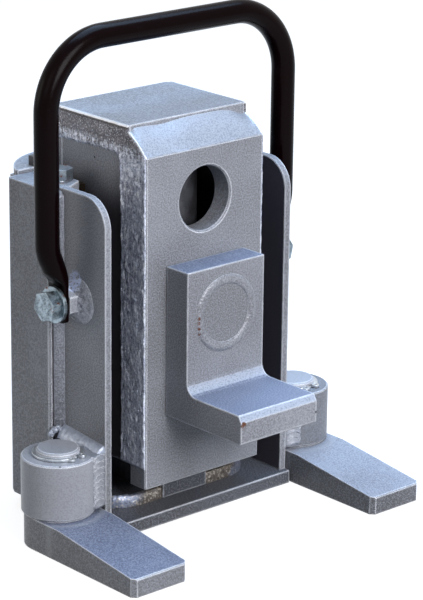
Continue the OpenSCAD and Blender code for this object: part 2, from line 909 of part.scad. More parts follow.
// Pin along X through the ears, with a flat head at each end
module lever_pivot_pin() {
    head_r = lever_pin_d/2 + 2;
    color([0.62, 0.63, 0.65])
        translate([0, fulcrum_y, fulcrum_z])
            along_x()
                union() {
                    rod(lever_pin_d/2, -ear_out - 1, ear_out + 1);
                    rod(head_r, ear_out, ear_out + 2);
                    rod(head_r, -ear_out - 2, -ear_out);
                }
}

// Outline of a lever cheek, with the pivot at the origin, the arm along +x and a grip on the tube's foot
module cheek_outline() {
    grip_x = cheek_grip*cos(socket_angle);
    grip_y = cheek_grip*sin(socket_angle);
    union() {
        circle(r = cheek_r, $fn = round_fn);
        translate([lever_arm, 0]) circle(r = cheek_r, $fn = round_fn);
        polygon([[0, -cheek_r], [lever_arm, -cheek_r], [socket_y + grip_y, socket_z - grip_x],
            [socket_y + grip_y + grip_x, socket_z - grip_x + grip_y],
            [socket_y - grip_y + grip_x, socket_z + grip_x + grip_y], [lever_arm, cheek_r], [0, cheek_r]]);
    }
}

// Lever socket: two cheeks on the pivot pin, slotted for the plunger's pin, and the tube for the pump lever
module lever_socket() {
    socket_r = socket_bore_d/2 + socket_wall;
    slot_r = lever_pin_d/2 + slot_play;
    slot_start = lever_arm - slot_over;
    slot_end = lever_arm/cos(arm_rest) + slot_over;
    color([0.30, 0.31, 0.33])
        translate([0, fulcrum_y, fulcrum_z])
            rotate([arm_rest, 0, 0])
                difference() {
                    union() {
                        both_sides() translate([cheek_in, 0, 0]) extrude_x(cheek_t) cheek_outline();
                        socket_place() rod(socket_r, 0, socket_len);
                    }
                    socket_place() rod(socket_bore_d/2, socket_floor, socket_len + 1);
                    along_x() rod(lever_pin_d/2 + run_clearance, -cheek_out - 1, cheek_out + 1);
                    translate([0, slot_start, 0]) along_x() rod(slot_r, -cheek_out - 1, cheek_out + 1);
                    translate([0, slot_end, 0]) along_x() rod(slot_r, -cheek_out - 1, cheek_out + 1);
                    box([-cheek_out - 1, slot_start, -slot_r], [cheek_out + 1, slot_end, slot_r]);
                }
}

// Places a bar along Z on the axis of the lever socket, in the arm's own frame
module socket_place() {
    translate([0, socket_y, socket_z]) rotate([socket_angle - 90, 0, 0]) children();
}

module pump_plunger() {
    color([0.72, 0.73, 0.75])
        translate([0, plunger_y, 0])
            difference() {
                union() {
                    rod(plunger_d/2, plunger_bottom, plunger_pin_z);
                    translate([0, 0, plunger_pin_z]) along_x() rod(lever_pin_d/2 + 3.5, -eye_half, eye_half);
                }
                translate([0, 0, plunger_pin_z]) along_x() rod(lever_pin_d/2, -eye_half - 1, eye_half + 1);
            }
}

module plunger_pin() {
    color([0.62, 0.63, 0.65])
        translate([0, plunger_y, plunger_pin_z])
            along_x() rod(lever_pin_d/2, 0.2 - cheek_out, cheek_out - 0.2);
}

// Release valve: a spindle along Y with a round knob and a cross bar
module release_valve() {
    knob_r = 9;
    knob_y = 6;
    knob_len = 12;
    bar_r = 3;
    bar_half = 20;
    color([0.62, 0.63, 0.65])
        translate([release_x, pump_back_y, release_z])
            difference() {
                union() {
                    along_y() rod(valve_d/2, -release_depth, knob_y + 1);
                    along_y() rod(knob_r, knob_y, knob_y + knob_len);
                    translate([0, knob_y + knob_len/2, 0]) rod(bar_r, -bar_half, bar_half);
                }
                translate([0, knob_y + knob_len - 2, 0]) along_y() rod(knob_r - 3, 0, 3);
            }
}

// Sliding casing

module front_plate() {
    edge = 1;
    half = wall_out;
    color([0.56, 0.56, 0.58])
        translate([0, front_y, 0])
            difference() {
                translate([0, 0, front_bottom])
                    linear_extrude(wall_top - front_bottom)
                        polygon([[-half + edge, 0], [half - edge, 0], [half, edge], [half, front_t],
                            [-half, front_t], [-half, edge]]);
                for (z = [lower_hole_z, upper_hole_z])
                    translate([0, 0, z]) peg_hole();
            }
}

// Hole through the front plate, chamfered at its rim
module peg_hole() {
    along_y()
        rotate_extrude($fn = round_fn)
            polygon([[0, -1], [peg_hole_r + hole_chamfer + 1, -1], [peg_hole_r, hole_chamfer],
                [peg_hole_r, front_t + 1], [0, front_t + 1]]);
}

// Side wall of the casing in the right-hand position
module casing_wall() {
    box([wall_out - casing_wall_t, front_y + front_t, wall_bottom],
        [wall_out, casing_back_y - casing_rear_t, wall_top]);
}

module casing_right_wall() {
    color([0.46, 0.46, 0.48]) casing_wall();
}

module casing_left_wall() {
    color([0.46, 0.46, 0.48]) mirror([1, 0, 0]) casing_wall();
}

module casing_rear_wall() {
    color([0.46, 0.46, 0.48])
        box([-wall_out, casing_back_y - casing_rear_t, wall_bottom], [wall_out, casing_back_y, wall_top]);
}

// Head block on top of the casing, with a recess below for the ram's spigot
module head_block() {
    half = head_w/2;
    depth = casing_back_y - head_front_y;
    corner = 4;
    edge = 0.8;
    color([0.64, 0.68, 0.76])
        difference() {
            translate([0, head_front_y, wall_top])
                linear_extrude(head_t)
                    polygon([[-half + edge, 0], [half - edge, 0], [half, edge], [half, depth - corner],
                        [half - corner, depth], [-half + edge, depth], [-half, depth - edge], [-half, edge]]);
            rod(spigot_r, wall_top - 1, wall_top + spigot_h);
        }
}

// Ground weld that slopes from the front plate's upper edge to the head block
module head_weld() {
    rise = head_t - slope_drop;
    run = head_front_y - front_y - 0.5;
    color([0.66, 0.68, 0.72])
        translate([-wall_out + 0.3, front_y + 0.5, wall_top])
            extrude_x(2*wall_out - 0.6)
                polygon(concat([for (i = [0 : 8]) let (t = i/8) [run*t, rise*(1.25*t - 0.25*sin(90*t))]],
                    [[run, 0]]));
}

module casing_welds() {
    color([0.58, 0.58, 0.60])
        both_sides() {
            translate([wall_out, front_y + 1, wall_bottom])
                linear_extrude(wall_top - wall_bottom) cap_section(strip_w, strip_h);
            translate([head_w/2, casing_back_y - 1, wall_top + 0.3])
                rotate([90, 0, 0])
                    linear_extrude(casing_back_y - head_front_y - 2) cap_section(head_t - 1, strip_h + 0.5);
        }
}

// Claw

// Side view of the claw: an upright plate, a foot, a fillet between them and a bevelled nose
module claw_outline() {
    foot_top = claw_bottom + claw_foot_t;
    r = claw_fillet_r;
    edge = 1;
    polygon(concat([[claw_back_y, claw_bottom], [claw_back_y, claw_top], [claw_front_y, claw_top]],
        [for (i = [0 : 6]) [claw_front_y - r + r*cos(15*i), foot_top + r - r*sin(15*i)]],
        [[claw_tip_y + claw_nose_d, foot_top], [claw_tip_y, foot_top - claw_nose_h],
            [claw_tip_y, claw_bottom + edge], [claw_tip_y + edge, claw_bottom]]));
}

module lifting_claw() {
    color([0.56, 0.56, 0.58])
        difference() {
            translate([-claw_w/2, 0, 0]) extrude_x(claw_w) claw_outline();
            translate([0, claw_front_y - 1, lower_hole_z]) along_y() rod(peg_r, 0, claw_plate_t + 2);
        }
}

module claw_peg() {
    length = front_y + front_t - 0.5 - claw_front_y;
    color([0.54, 0.54, 0.56])
        translate([0, claw_front_y, lower_hole_z]) along_y() chamfered_rod(peg_r, 0, length, 1);
}

// Ring of weld round the peg's outer end
module peg_weld() {
    inner = peg_r - 3;
    middle = (peg_weld_r + inner)/2;
    half = (peg_weld_r - inner)/2;
    color([0.62, 0.62, 0.64])
        translate([0, claw_front_y, lower_hole_z])
            rotate([90, 0, 0])
                rotate_extrude($fn = round_fn)
                    polygon([for (i = [0 : 8]) [middle - half*cos(22.5*i), 1.6*sin(22.5*i)]]);
}

// Swivel feet

// Foot in the right-hand position: round behind its pin, tapered to its tip
module foot() {
    half = foot_w/2;
    taper_y = -0.62*foot_w;
    top = foot_t - 0.4;
    edge = 0.8;
    corner = 3;
    translate([pivot_x, pivot_y, 0])
        difference() {
            union() {
                rod(half, 0, foot_t);
                translate([-half, 0, 0])
                    extrude_x(foot_w)
                        polygon([[0, 0], [0, top], [taper_y, top], [-foot_len + edge, foot_tip_t],
                            [-foot_len, foot_tip_t - edge], [-foot_len, 0]]);
            }
            for (side = [-1, 1])
                translate([side*half, -foot_len, -1])
                    rotate([0, 0, 45])
                        translate([-corner/sqrt(2), -corner/sqrt(2), 0])
                            cube([sqrt(2)*corner, sqrt(2)*corner, foot_t + 2]);
            rod(pivot_d/2, -1, foot_t + 1);
        }
}

module right_foot() {
    color([0.62, 0.65, 0.70]) foot();
}

module left_foot() {
    color([0.62, 0.65, 0.70]) mirror([1, 0, 0]) foot();
}

// Pivot pin with the groove of its retaining ring
module pivot_pin() {
    r = pivot_d/2;
    translate([pivot_x, pivot_y, 0])
        rotate_extrude($fn = round_fn)
            polygon([[0, 0.5], [r, 0.5], [r, ring_z], [ring_in_r, ring_z], [ring_in_r, ring_z + ring_t],
                [r, ring_z + ring_t], [r, pin_top - 1.2], [r - 1.2, pin_top], [0, pin_top]]);
}

module right_pivot_pin() {
    color([0.60, 0.62, 0.66]) pivot_pin();
}

module left_pivot_pin() {
    color([0.60, 0.62, 0.66]) mirror([1, 0, 0]) pivot_pin();
}

// Open retaining ring with two eyes for the pliers, its gap turned to the given angle
module retaining_ring(turn) {
    gap_angle = 26;
    eye_angle = gap_angle/2 + 4;
    lug_r = 2.6;
    translate([pivot_x, pivot_y, ring_z])
        rotate([0, 0, turn])
            linear_extrude(ring_t)
                difference() {
                    union() {
                        difference() {
                            circle(r = ring_out_r, $fn = round_fn);
                            circle(r = ring_in_r, $fn = round_fn);
                            polygon([[0, 0], [2*ring_out_r, -2*ring_out_r*tan(gap_angle/2)],
                                [2*ring_out_r, 2*ring_out_r*tan(gap_angle/2)]]);
                        }
                        for (side = [-1, 1])
                            rotate(side*eye_angle) translate([ring_out_r, 0]) circle(r = lug_r, $fn = 24);
                    }
                    for (side = [-1, 1])
                        rotate(side*eye_angle) translate([ring_out_r, 0]) circle(r = 1, $fn = 16);
                }
}

module right_retaining_ring() {
    color([0.66, 0.68, 0.70]) retaining_ring(-85);
}

module left_retaining_ring() {
    color([0.66, 0.68, 0.70]) mirror([1, 0, 0]) retaining_ring(-100);
}

// Carrying handle

// Bar of the handle bent from a round section, drawn with the pivot at the origin
module handle_bar() {
    r = handle_d/2;
    leg_x = handle_w/2;
    union() {
        translate([-leg_x + handle_bend_r, 0, handle_h])
            along_x() rod(r, 0, 2*(leg_x - handle_bend_r));
        both_sides() {
            translate([leg_x - handle_bend_r, 0, handle_h - handle_bend_r])
                rotate([90, 0, 0]) rotate_extrude(angle = 90, $fn = round_fn)
                    translate([handle_bend_r, 0]) circle(r = r, $fn = round_fn);
            translate([leg_x, 0, 0]) rod(r, jog_top_z, handle_h - handle_bend_r);
            translate([leg_x - jog_r, 0, jog_top_z])
                rotate([90, 0, 0]) mirror([0, 1, 0]) rotate_extrude(angle = jog_angle, $fn = round_fn)
                    translate([jog_r, 0]) circle(r = r, $fn = round_fn);
        }
    }
}

// Where the bar is hammered flat: from its round section at the end of the jog to the flat tab
module flattened_end() {
    bar_x = handle_w/2 - jog_r*(1 - cos(jog_angle));
    bar_z = jog_top_z - jog_r*sin(jog_angle);
    hull() {
        translate([bar_x, 0, bar_z])
            rotate([0, jog_angle, 0]) cylinder(r = handle_d/2 - 0.1, h = 1.5, $fn = loft_fn);
        translate([tab_x - tab_t/2, -tab_w/2, tab_top_z - 0.4]) cube([tab_t, tab_w, 0.4]);
    }
}

// Flat tab with a squared lower end and small round corners
module handle_tab() {
    corner = 2.5;
    translate([tab_x - tab_t/2, 0, 0])
        extrude_x(tab_t)
            union() {
                translate([-tab_w/2, corner - tab_drop]) square([tab_w, tab_top_z + tab_drop - corner]);
                translate([corner - tab_w/2, -tab_drop]) square([tab_w - 2*corner, tab_drop]);
                for (side = [-1, 1])
                    translate([side*(tab_w/2 - corner), corner - tab_drop]) circle(r = corner, $fn = loft_fn);
            }
}

module carry_handle() {
    color([0.03, 0.03, 0.04])
        translate([0, handle_y, handle_pivot_z])
            difference() {
                union() {
                    handle_bar();
                    both_sides() {
                        flattened_end();
                        handle_tab();
                    }
                }
                along_x() rod(bolt_d/2 + run_clearance, -tab_x - tab_t, tab_x + tab_t);
            }
}

base_plate();
foot_plate();
locating_block();
left_side_plate();
right_side_plate();
left_column();
right_column();
back_plate();
left_barrel();
right_barrel();
frame_welds();
base_welds();
guide_strips();
handle_nuts();
handle_bolts();
handle_washers();
hydraulic_cylinder();
cylinder_head();
wiper_ring();
pressure_pipe();
reservoir();
reservoir_lid();
breather();
column_plug();
pump_block();
plunger_gland();
check_balls();
valve_plugs();
oil_pipes();
lever_bracket();
lever_pivot_pin();
release_valve();
lever_socket();
pump_plunger();
plunger_pin();
front_plate();
casing_left_wall();
casing_right_wall();
casing_rear_wall();
head_block();
head_weld();
casing_welds();
ram();
piston();
piston_seal();
lifting_claw();
claw_peg();
peg_weld();
left_foot();
left_pivot_pin();
left_retaining_ring();
right_foot();
right_pivot_pin();
right_retaining_ring();
carry_handle();
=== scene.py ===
"""The looks of the machine jack: its materials, weld beads, handle, lights, floor and camera."""

import json
import math

import bmesh
import bpy
from mathutils import Matrix, Vector, noise


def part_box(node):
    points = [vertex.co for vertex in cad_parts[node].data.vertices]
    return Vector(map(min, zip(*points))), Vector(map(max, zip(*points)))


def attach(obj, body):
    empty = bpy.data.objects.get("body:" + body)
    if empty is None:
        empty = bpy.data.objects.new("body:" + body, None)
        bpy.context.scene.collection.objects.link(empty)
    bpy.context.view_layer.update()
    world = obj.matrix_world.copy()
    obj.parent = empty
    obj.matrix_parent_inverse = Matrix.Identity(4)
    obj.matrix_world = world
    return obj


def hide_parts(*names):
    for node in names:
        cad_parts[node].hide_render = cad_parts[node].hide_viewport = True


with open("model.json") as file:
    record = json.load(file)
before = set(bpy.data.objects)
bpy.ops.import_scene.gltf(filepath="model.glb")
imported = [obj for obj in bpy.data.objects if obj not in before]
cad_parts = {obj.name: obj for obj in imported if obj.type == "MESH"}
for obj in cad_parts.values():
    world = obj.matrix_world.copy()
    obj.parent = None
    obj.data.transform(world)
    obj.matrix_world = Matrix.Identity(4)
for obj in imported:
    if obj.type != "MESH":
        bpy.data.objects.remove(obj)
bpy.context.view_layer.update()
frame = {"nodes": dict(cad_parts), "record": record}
MM = 0.001

# The camera stands where the photograph was taken from. Lengths in mm, angles in degrees, clipping in metres.
IMAGE_W, IMAGE_H = 423, 600
CAMERA_AT = (-1111.5, -1298.4, 692.9)
CAMERA_YAW = 41.46
CAMERA_PITCH = -18.24
CAMERA_ROLL = 0.52
FOCAL_PX = 2692.3
CENTRE_PX = (192.38, 308.84)
SENSOR_MM = 36.0
CLIP = (0.05, 60.0)


def make_camera():
    """Adds the camera and makes it the scene's own."""
    yaw, pitch, roll = (math.radians(a) for a in (CAMERA_YAW, CAMERA_PITCH, CAMERA_ROLL))
    forward = Vector((math.sin(yaw) * math.cos(pitch), math.cos(yaw) * math.cos(pitch), math.sin(pitch)))
    level = Vector((math.cos(yaw), -math.sin(yaw), 0))
    upward = level.cross(forward)
    right = level * math.cos(roll) + upward * math.sin(roll)
    up = upward * math.cos(roll) - level * math.sin(roll)
    turn = Matrix((right, up, -forward)).transposed().to_4x4()
    data = bpy.data.cameras.new("camera")
    data.sensor_fit = "VERTICAL"
    data.sensor_height = SENSOR_MM
    data.lens = FOCAL_PX * SENSOR_MM / IMAGE_H
    data.shift_x = (IMAGE_W / 2 - CENTRE_PX[0]) / IMAGE_H
    data.shift_y = (CENTRE_PX[1] - IMAGE_H / 2) / IMAGE_H
    data.clip_start, data.clip_end = CLIP
    camera = bpy.data.objects.new("camera", data)
    bpy.context.scene.collection.objects.link(camera)
    camera.matrix_world = Matrix.Translation(Vector(CAMERA_AT) * MM) @ turn
    bpy.context.scene.camera = camera


make_camera()


class Graph:
    """The nodes of a material or a world. A value may be a number, a colour or the output of a node."""

    def __init__(self, name, owners=None):
        self.owner = (bpy.data.materials if owners is None else owners).new(name)
        self.owner.use_nodes = True
        self.tree = self.owner.node_tree
        self.tree.nodes.clear()
        self.place = self.add("TexCoord").outputs["Object"]

    def add(self, kind, settings=None, **values):
        """Adds a node. Each value goes to the input of that name, or for i0, i1 and so on to the input's number."""
        node = self.tree.nodes.new("ShaderNode" + kind)
        for key, value in (settings or {}).items():
            setattr(node, key, value)
        for key, value in values.items():
            numbered = key[0] == "i" and key[1:].isdigit()
            self.join(value, node.inputs[int(key[1:]) if numbered else key])
        return node

    def join(self, value, socket):
        if isinstance(value, bpy.types.NodeSocket):
            self.tree.links.new(value, socket)
        else:
            socket.default_value = value

    def math(self, operation, a, b=0.0):
        return self.add("Math", {"operation": operation}, i0=a, i1=b).outputs[0]

    def times(self, a, b):
        return self.math("MULTIPLY", a, b)

    def mix(self, factor, a, b):
        """Mixes two colours, which are inputs 6 and 7 and output 2 of the node."""
        return self.add("Mix", {"data_type": "RGBA"}, i0=factor, i6=a, i7=b).outputs[2]

    def span(self, value, low, high, to_low=0.0, to_high=1.0):
        """Maps low..high onto to_low..to_high, smoothly, and holds it at both ends."""
        return self.add("MapRange", {"interpolation_type": "SMOOTHSTEP"},
                        i0=value, i1=low, i2=high, i3=to_low, i4=to_high).outputs[0]

    def vector_math(self, operation, a, b=(0.0, 0.0, 0.0)):
        return self.add("VectorMath", {"operation": operation}, i0=a, i1=b)

    def axis(self, letter, vector=None):
        """The X, Y or Z of a vector, or of the place."""
        return self.add("SeparateXYZ", Vector=vector or self.place).outputs["XYZ".index(letter)]

    def from_middle(self):
        """Distance from the plane x = 0."""
        return self.math("ABSOLUTE", self.axis("X"))

    def stretch(self, x, y, z):
        return self.add("Mapping", Vector=self.place, Scale=(x, y, z)).outputs[0]

    def noise(self, scale, detail, roughness, vector=None):
        return self.add("TexNoise", Vector=vector or self.place, Scale=scale, Detail=detail,
                        Roughness=roughness).outputs[0]

    def near(self, point, radius):
        """1 at a point in mm, falling to 0 at a radius in mm."""
        away = self.vector_math("DISTANCE", self.place, tuple(v * MM for v in point)).outputs["Value"]
        return self.span(away, 0.0, radius * MM, 1.0, 0.0)

    def edge(self, radius):
        """(mask of the sharp edges within a radius in mm, a normal that rounds them)."""
        bevel = self.add("Bevel", {"samples": 4}, Radius=radius * MM).outputs[0]
        flat = self.add("NewGeometry").outputs["Normal"]
        same = self.vector_math("DOT_PRODUCT", bevel, flat).outputs["Value"]
        return self.span(same, 0.995, 0.92), bevel

    def bump(self, height, depth, normal=None):
        """A normal for a height of 0 to 1 that stands for a depth in mm."""
        node = self.add("Bump", Height=height, Distance=depth * MM, Strength=1.0)
        if normal is not None:
            self.join(normal, node.inputs["Normal"])
        return node.outputs[0]

    def shown(self):
        """1 where the viewer looks, also in a mirror or through glass, and 0 for the light that falls on things."""
        path = self.add("LightPath")
        seen = path.outputs["Is Camera Ray"]
        for ray in ("Is Glossy Ray", "Is Transmission Ray"):
            seen = self.math("MAXIMUM", seen, path.outputs[ray])
        return seen

    def finish(self, color, roughness, normal, metallic=0.0, **fixed):
        """Ends a material. fixed holds more inputs of its shader, with _ for each space of their names."""
        inputs = {name.replace("_", " "): value for name, value in fixed.items()}
        inputs.update({"Base Color": color, "Roughness": roughness, "Normal": normal, "Metallic": metallic})
        self.add("OutputMaterial", Surface=self.add("BsdfPrincipled", **inputs).outputs[0])
        return self.owner


def rgb(red, green, blue):
    """A colour given in 0..255 of the display, as the linear colour that the shader takes."""
    return tuple((c / 255 / 12.92) if c <= 10 else ((c / 255 + 0.055) / 1.055) ** 2.4
                 for c in (red, green, blue)) + (1.0,)


def brighter(color, factor):
    return tuple(min(1.0, c * factor) for c in color[:3]) + (1.0,)


# Places in mm with marks that the photograph shows: (point, radius)
RUST_SPOTS = [((-31, -125.8, 90), 3.6), ((-23.9, -73.8, 146.5), 1.9), ((-24.0, -73.8, 143.5), 1.9),
              ((-23.6, -73.8, 139.5), 1.7), ((-23.0, -73.8, 135.5), 1.6)]
BRIGHT_SPOTS = [((-82.5, -17.5, 169.5), 11.0), ((82.5, -17.5, 169.5), 11.0)]
DARK_SPOTS = [((-50, -0.5, 243.0), 1.2), ((32.6, -125.3, 83.9), 1.3), ((52.1, -47.5, 9), 1.3),
              ((-117.9, -47.9, 60.5), 1.0), ((-22.6, -73.4, 155.6), 0.9), ((-24.2, -73.4, 147), 0.9),
              ((-24.2, -73.4, 141), 0.8), ((-23.2, -73.4, 133), 0.8)]

# The right foot's pivot axis, and the radii round it where the rubbed ring starts, is full, is last full and ends,
# all in mm
PIVOT = (104.15, -28.6)
RUBBED_AT = (26.2, 27.8, 29.2, 33.0)

# Colours that lie over the paint: marks and wear, painted shade and painted highlight
SPECK_PALE = rgb(196, 203, 214)
SPECK_DARK = rgb(76, 75, 79)
RUBBED = rgb(176, 180, 186)
WORN_END = rgb(250, 252, 255)
WORN_EDGE_AND_HIGHLIGHT = rgb(244, 248, 255)
GAP_SHADE = rgb(34, 28, 34)
PAINTED_SHADE = rgb(54, 50, 58)
RUST = rgb(98, 60, 44)
SCRAPED = rgb(204, 216, 246)
NICK = rgb(30, 28, 30)


def rub_mark(g, color):
    """The colour with a faint ring round each pivot, which the barrel has rubbed."""
    flat = g.vector_math("MULTIPLY", g.place, (1.0, 1.0, 0.0)).outputs[0]
    mirrored = g.vector_math("ABSOLUTE", flat).outputs[0]
    away = g.vector_math("DISTANCE", mirrored, (PIVOT[0] * MM, -PIVOT[1] * MM, 0.0)).outputs["Value"]
    start, full, last, end = (radius * MM for radius in RUBBED_AT)
    ring = g.times(g.span(away, start, full), g.span(away, end, last))
    return g.mix(g.times(ring, 0.35), color, RUBBED)


def spots(g, color):
    """The colour with the rust, the scraped places and the nicks that the photograph shows."""
    rusty = 0.0
    for point, radius in RUST_SPOTS:
        rusty = g.math("MAXIMUM", g.near(point, radius), rusty)
    rusty = g.times(rusty, g.span(g.noise(700.0, 3.0, 0.7), 0.36, 0.56))
    color = g.mix(g.span(rusty, 0.12, 0.36), color, RUST)
    for point, radius in BRIGHT_SPOTS:
        scraped = g.times(g.near(point, radius), g.span(g.noise(330.0, 3.0, 0.7), 0.36, 0.56))
        color = g.mix(g.span(scraped, 0.10, 0.45, 0.0, 0.9), color, SCRAPED)
    for point, radius in DARK_SPOTS:
        color = g.mix(g.span(g.near(point, radius), 0.2, 0.5), color, NICK)
    return color


def paint(name, rough=0.46, dark=rgb(120, 121, 125), light=rgb(146, 149, 156), grain=1.0, lumps=0.0, edge_mm=1.9,
          metallic=0.05, arcs=False, shade_band=None, tops=None, ends=None, shade_heights=None):
    """Silver-grey enamel with a fine grain, worn bright along its edges, which also carry a painted highlight. tops
    holds two colours of painted light for faces that look up, tinted as if lit from above, and may hold a third for
    slanted ones. arcs adds rub marks round the pivot pins. Beyond ends, in mm from the middle plane, it is worn
    bright. shade_heights holds two heights in mm: painted shade below the first and none from the second up.
    shade_band is a band of distances in mm from the middle plane where the faces in front of y = -0.5 mm are
    darkened with painted shade."""
    g = Graph(name)
    mask, rounded = g.edge(edge_mm)
    patches = g.noise(9.0, 3.0, 0.6)
    fine = g.noise(1000.0, 1.5, 0.6)
    wide = g.span(patches, 0.35, 0.68)
    color = g.mix(wide, dark, light)
    # Painted light: faces that look up, and with a third colour slanted ones, take the colours of tops, tinted as if
    # lit from above
    if tops:
        rise = g.axis("Z", g.add("NewGeometry").outputs["Normal"])
        if len(tops) > 2:
            color = g.mix(g.span(rise, 0.08, 0.30), color, tops[2])
        color = g.mix(g.span(rise, 0.84, 0.94), color, g.mix(wide, tops[0], tops[1]))
    color = g.mix(g.span(fine, 0.44, 0.66, 0.0, 0.30 * grain), color, SPECK_PALE)
    color = g.mix(g.span(fine, 0.50, 0.32, 0.0, 0.36 * grain), color, SPECK_DARK)
    if arcs:
        color = rub_mark(g, color)
    if ends:
        worn = g.span(g.from_middle(), (ends - 1.0) * MM, ends * MM)
        color = g.mix(g.times(worn, g.span(fine, 0.30, 0.50, 0.35, 1.0)), color, WORN_END)
    # Painted shade: darker below the first of the two heights, none from the second up
    if shade_heights:
        shade_below = g.span(g.axis("Z"), shade_heights[1] * MM, shade_heights[0] * MM)
        color = g.mix(g.times(shade_below, g.span(patches, 0.1, 0.5, 0.86, 1.0)), color, GAP_SHADE)
    # Painted shade: faces in front of y = -0.5 mm, within a band of distances from the middle plane, are darkened
    if shade_band:
        across = g.from_middle()
        shaded = g.times(g.span(across, (shade_band[0] - 0.3) * MM, shade_band[0] * MM),
                        g.span(across, (shade_band[1] + 0.3) * MM, shade_band[1] * MM))
        shaded = g.times(shaded, g.span(g.axis("Y"), -0.2 * MM, -0.6 * MM))
        color = g.mix(g.times(shaded, g.span(fine, 0.20, 0.45, 0.72, 0.95)), color, PAINTED_SHADE)
    # The edges are worn bright and also carry a painted highlight
    wear_and_highlight = g.times(mask, g.span(g.noise(90.0, 2.0, 0.6), 0.30, 0.55, 0.70, 1.0))
    color = spots(g, g.mix(wear_and_highlight, color, WORN_EDGE_AND_HIGHLIGHT))
    roughness = g.math("ADD", g.span(patches, 0.3, 0.7, rough - 0.05, rough + 0.07), g.times(mask, -0.10))
    normal = g.bump(fine, 0.05 + 0.15 * lumps, rounded)
    if lumps:
        cells = g.add("TexVoronoi", {"feature": "SMOOTH_F1"}, Vector=g.place, Scale=260.0).outputs[0]
        normal = g.bump(cells, 0.5 * lumps, normal)
    return g.finish(color, roughness, normal, metallic, Specular_IOR_Level=0.28)


def bronze_bead():
    """Weld bead on which the grey paint is thin and a bronze tint shows in the middle of the jack."""
    g = Graph("paint_bronze_bead")
    mask, rounded = g.edge(0.7)
    flakes = g.noise(600.0, 3.0, 0.7)
    outside = g.span(g.from_middle(), 0.030, 0.056)
    painted = g.math("ADD", outside, g.span(g.noise(90.0, 2.0, 0.6), 0.3, 0.7, -0.3, 0.3))
    color = g.mix(g.span(painted, 0.15, 0.75), rgb(104, 97, 90), rgb(122, 132, 154))
    color = g.mix(g.span(flakes, 0.50, 0.64, 0.0, 0.75), color, rgb(206, 200, 190))
    color = g.mix(g.span(flakes, 0.46, 0.30, 0.0, 0.7), color, rgb(48, 40, 36))
    # The edges are worn bright and also carry a painted highlight
    color = g.mix(g.times(mask, 0.5), color, rgb(226, 220, 205))
    return g.finish(color, 0.34, g.bump(flakes, 0.3, rounded), metallic=0.45)


def weld_layer():
    """Coarse weld under paint: down the casing's corners bluish and pale as painted light, paler still towards
    their foot, with upright streaks, the bright ones painted highlights; brown-grey along the head, with bright
    specks and one crest along the head's upper edge that is worn bright and carries a painted highlight."""
    g = Graph("paint_rough_weld")
    _, rounded = g.edge(0.4)
    height = g.axis("Z")
    wide = g.span(g.noise(40.0, 3.0, 0.6), 0.35, 0.65)
    fine = g.noise(950.0, 2.0, 0.7)
    streaks = g.noise(560.0, 3.0, 0.7, g.stretch(1, 1, 0.4))

    def level(low, high):
        """0 at one height in mm and 1 at the other, which may be the lower one."""
        return g.span(height, low * MM, high * MM)

    # Painted light: the corner strip is pale and bluish
    strip = g.mix(wide, rgb(166, 172, 192), rgb(198, 206, 226))
    # Painted light: paler towards the foot of the strip, from 150 mm down to 60 mm
    strip = g.mix(g.times(level(150.0, 60.0), 0.8), strip, rgb(214, 221, 238))
    # Painted highlights: bright upright streaks
    strip = g.mix(g.span(streaks, 0.48, 0.60, 0.0, 0.9), strip, rgb(242, 247, 255))
    head = g.mix(wide, rgb(102, 99, 103), rgb(128, 126, 133))
    toe = g.times(level(247.5, 250.0), level(259.0, 253.5))
    head = g.mix(g.times(toe, g.span(streaks, 0.44, 0.58, 0.1, 1.0)), head, rgb(226, 232, 246))
    color = g.mix(level(247.0, 255.0), strip, head)
    color = g.mix(g.span(streaks, 0.45, 0.31, 0.0, 0.75), color, rgb(66, 66, 76))
    color = g.mix(g.span(fine, 0.55, 0.68, 0.0, 0.85), color, rgb(236, 242, 252))
    color = g.mix(g.span(fine, 0.45, 0.33, 0.0, 0.6), color, rgb(52, 48, 50))
    under_crest = g.times(level(267.2, 268.0), level(269.2, 268.8))
    color = g.mix(g.times(under_crest, 0.75), color, rgb(56, 48, 46))
    # Worn bright, with a painted highlight: the crest along the head's upper edge
    color = g.mix(level(269.1, 269.4), color, rgb(252, 253, 255))
    return g.finish(color, 0.36, g.bump(fine, 0.12, rounded), 0.2, Specular_IOR_Level=0.4)


def metal(name, dark, light, rough, grain_mm=1.0, rust=0.0, brushed=None, edge_mm=0.5, metallic=0.9, wide_mm=16.0):
    """Bare or plated metal, with a grain of its own and optional rust in patches."""
    g = Graph(name)
    mask, rounded = g.edge(edge_mm)
    fine = g.noise(900.0 / grain_mm, 2.0, 0.6, g.stretch(*brushed) if brushed else None)
    wide = g.noise(1000.0 / wide_mm, 3.0, 0.6)
    color = g.mix(g.span(wide, 0.34, 0.66), dark, light)
    color = g.mix(g.span(fine, 0.40, 0.62, 0.0, 0.35), color, brighter(light, 1.5))
    # The edges are worn bright and also carry a painted highlight
    color = g.mix(g.times(mask, 0.5), color, brighter(light, 1.7))
    roughness = g.span(wide, 0.3, 0.7, rough - 0.06, rough + 0.08)
    if rust:
        patch = g.span(g.noise(190.0, 4.0, 0.7), 0.62 - 0.12 * rust, 0.70 - 0.10 * rust)
        color = g.mix(patch, color, rgb(112, 62, 36))
        roughness = g.math("MAXIMUM", roughness, g.times(patch, 0.8))
    return g.finish(color, roughness, g.bump(fine, 0.07, rounded), metallic)


def soft(name, color, other, rough):
    """Rubber or plastic with a faint mottling."""
    g = Graph(name)
    _, rounded = g.edge(0.5)
    mixed = g.mix(g.span(g.noise(80.0, 3.0, 0.6), 0.35, 0.65), color, other)
    return g.finish(mixed, rough, g.bump(g.noise(800.0, 2.0, 0.6), 0.08, rounded))


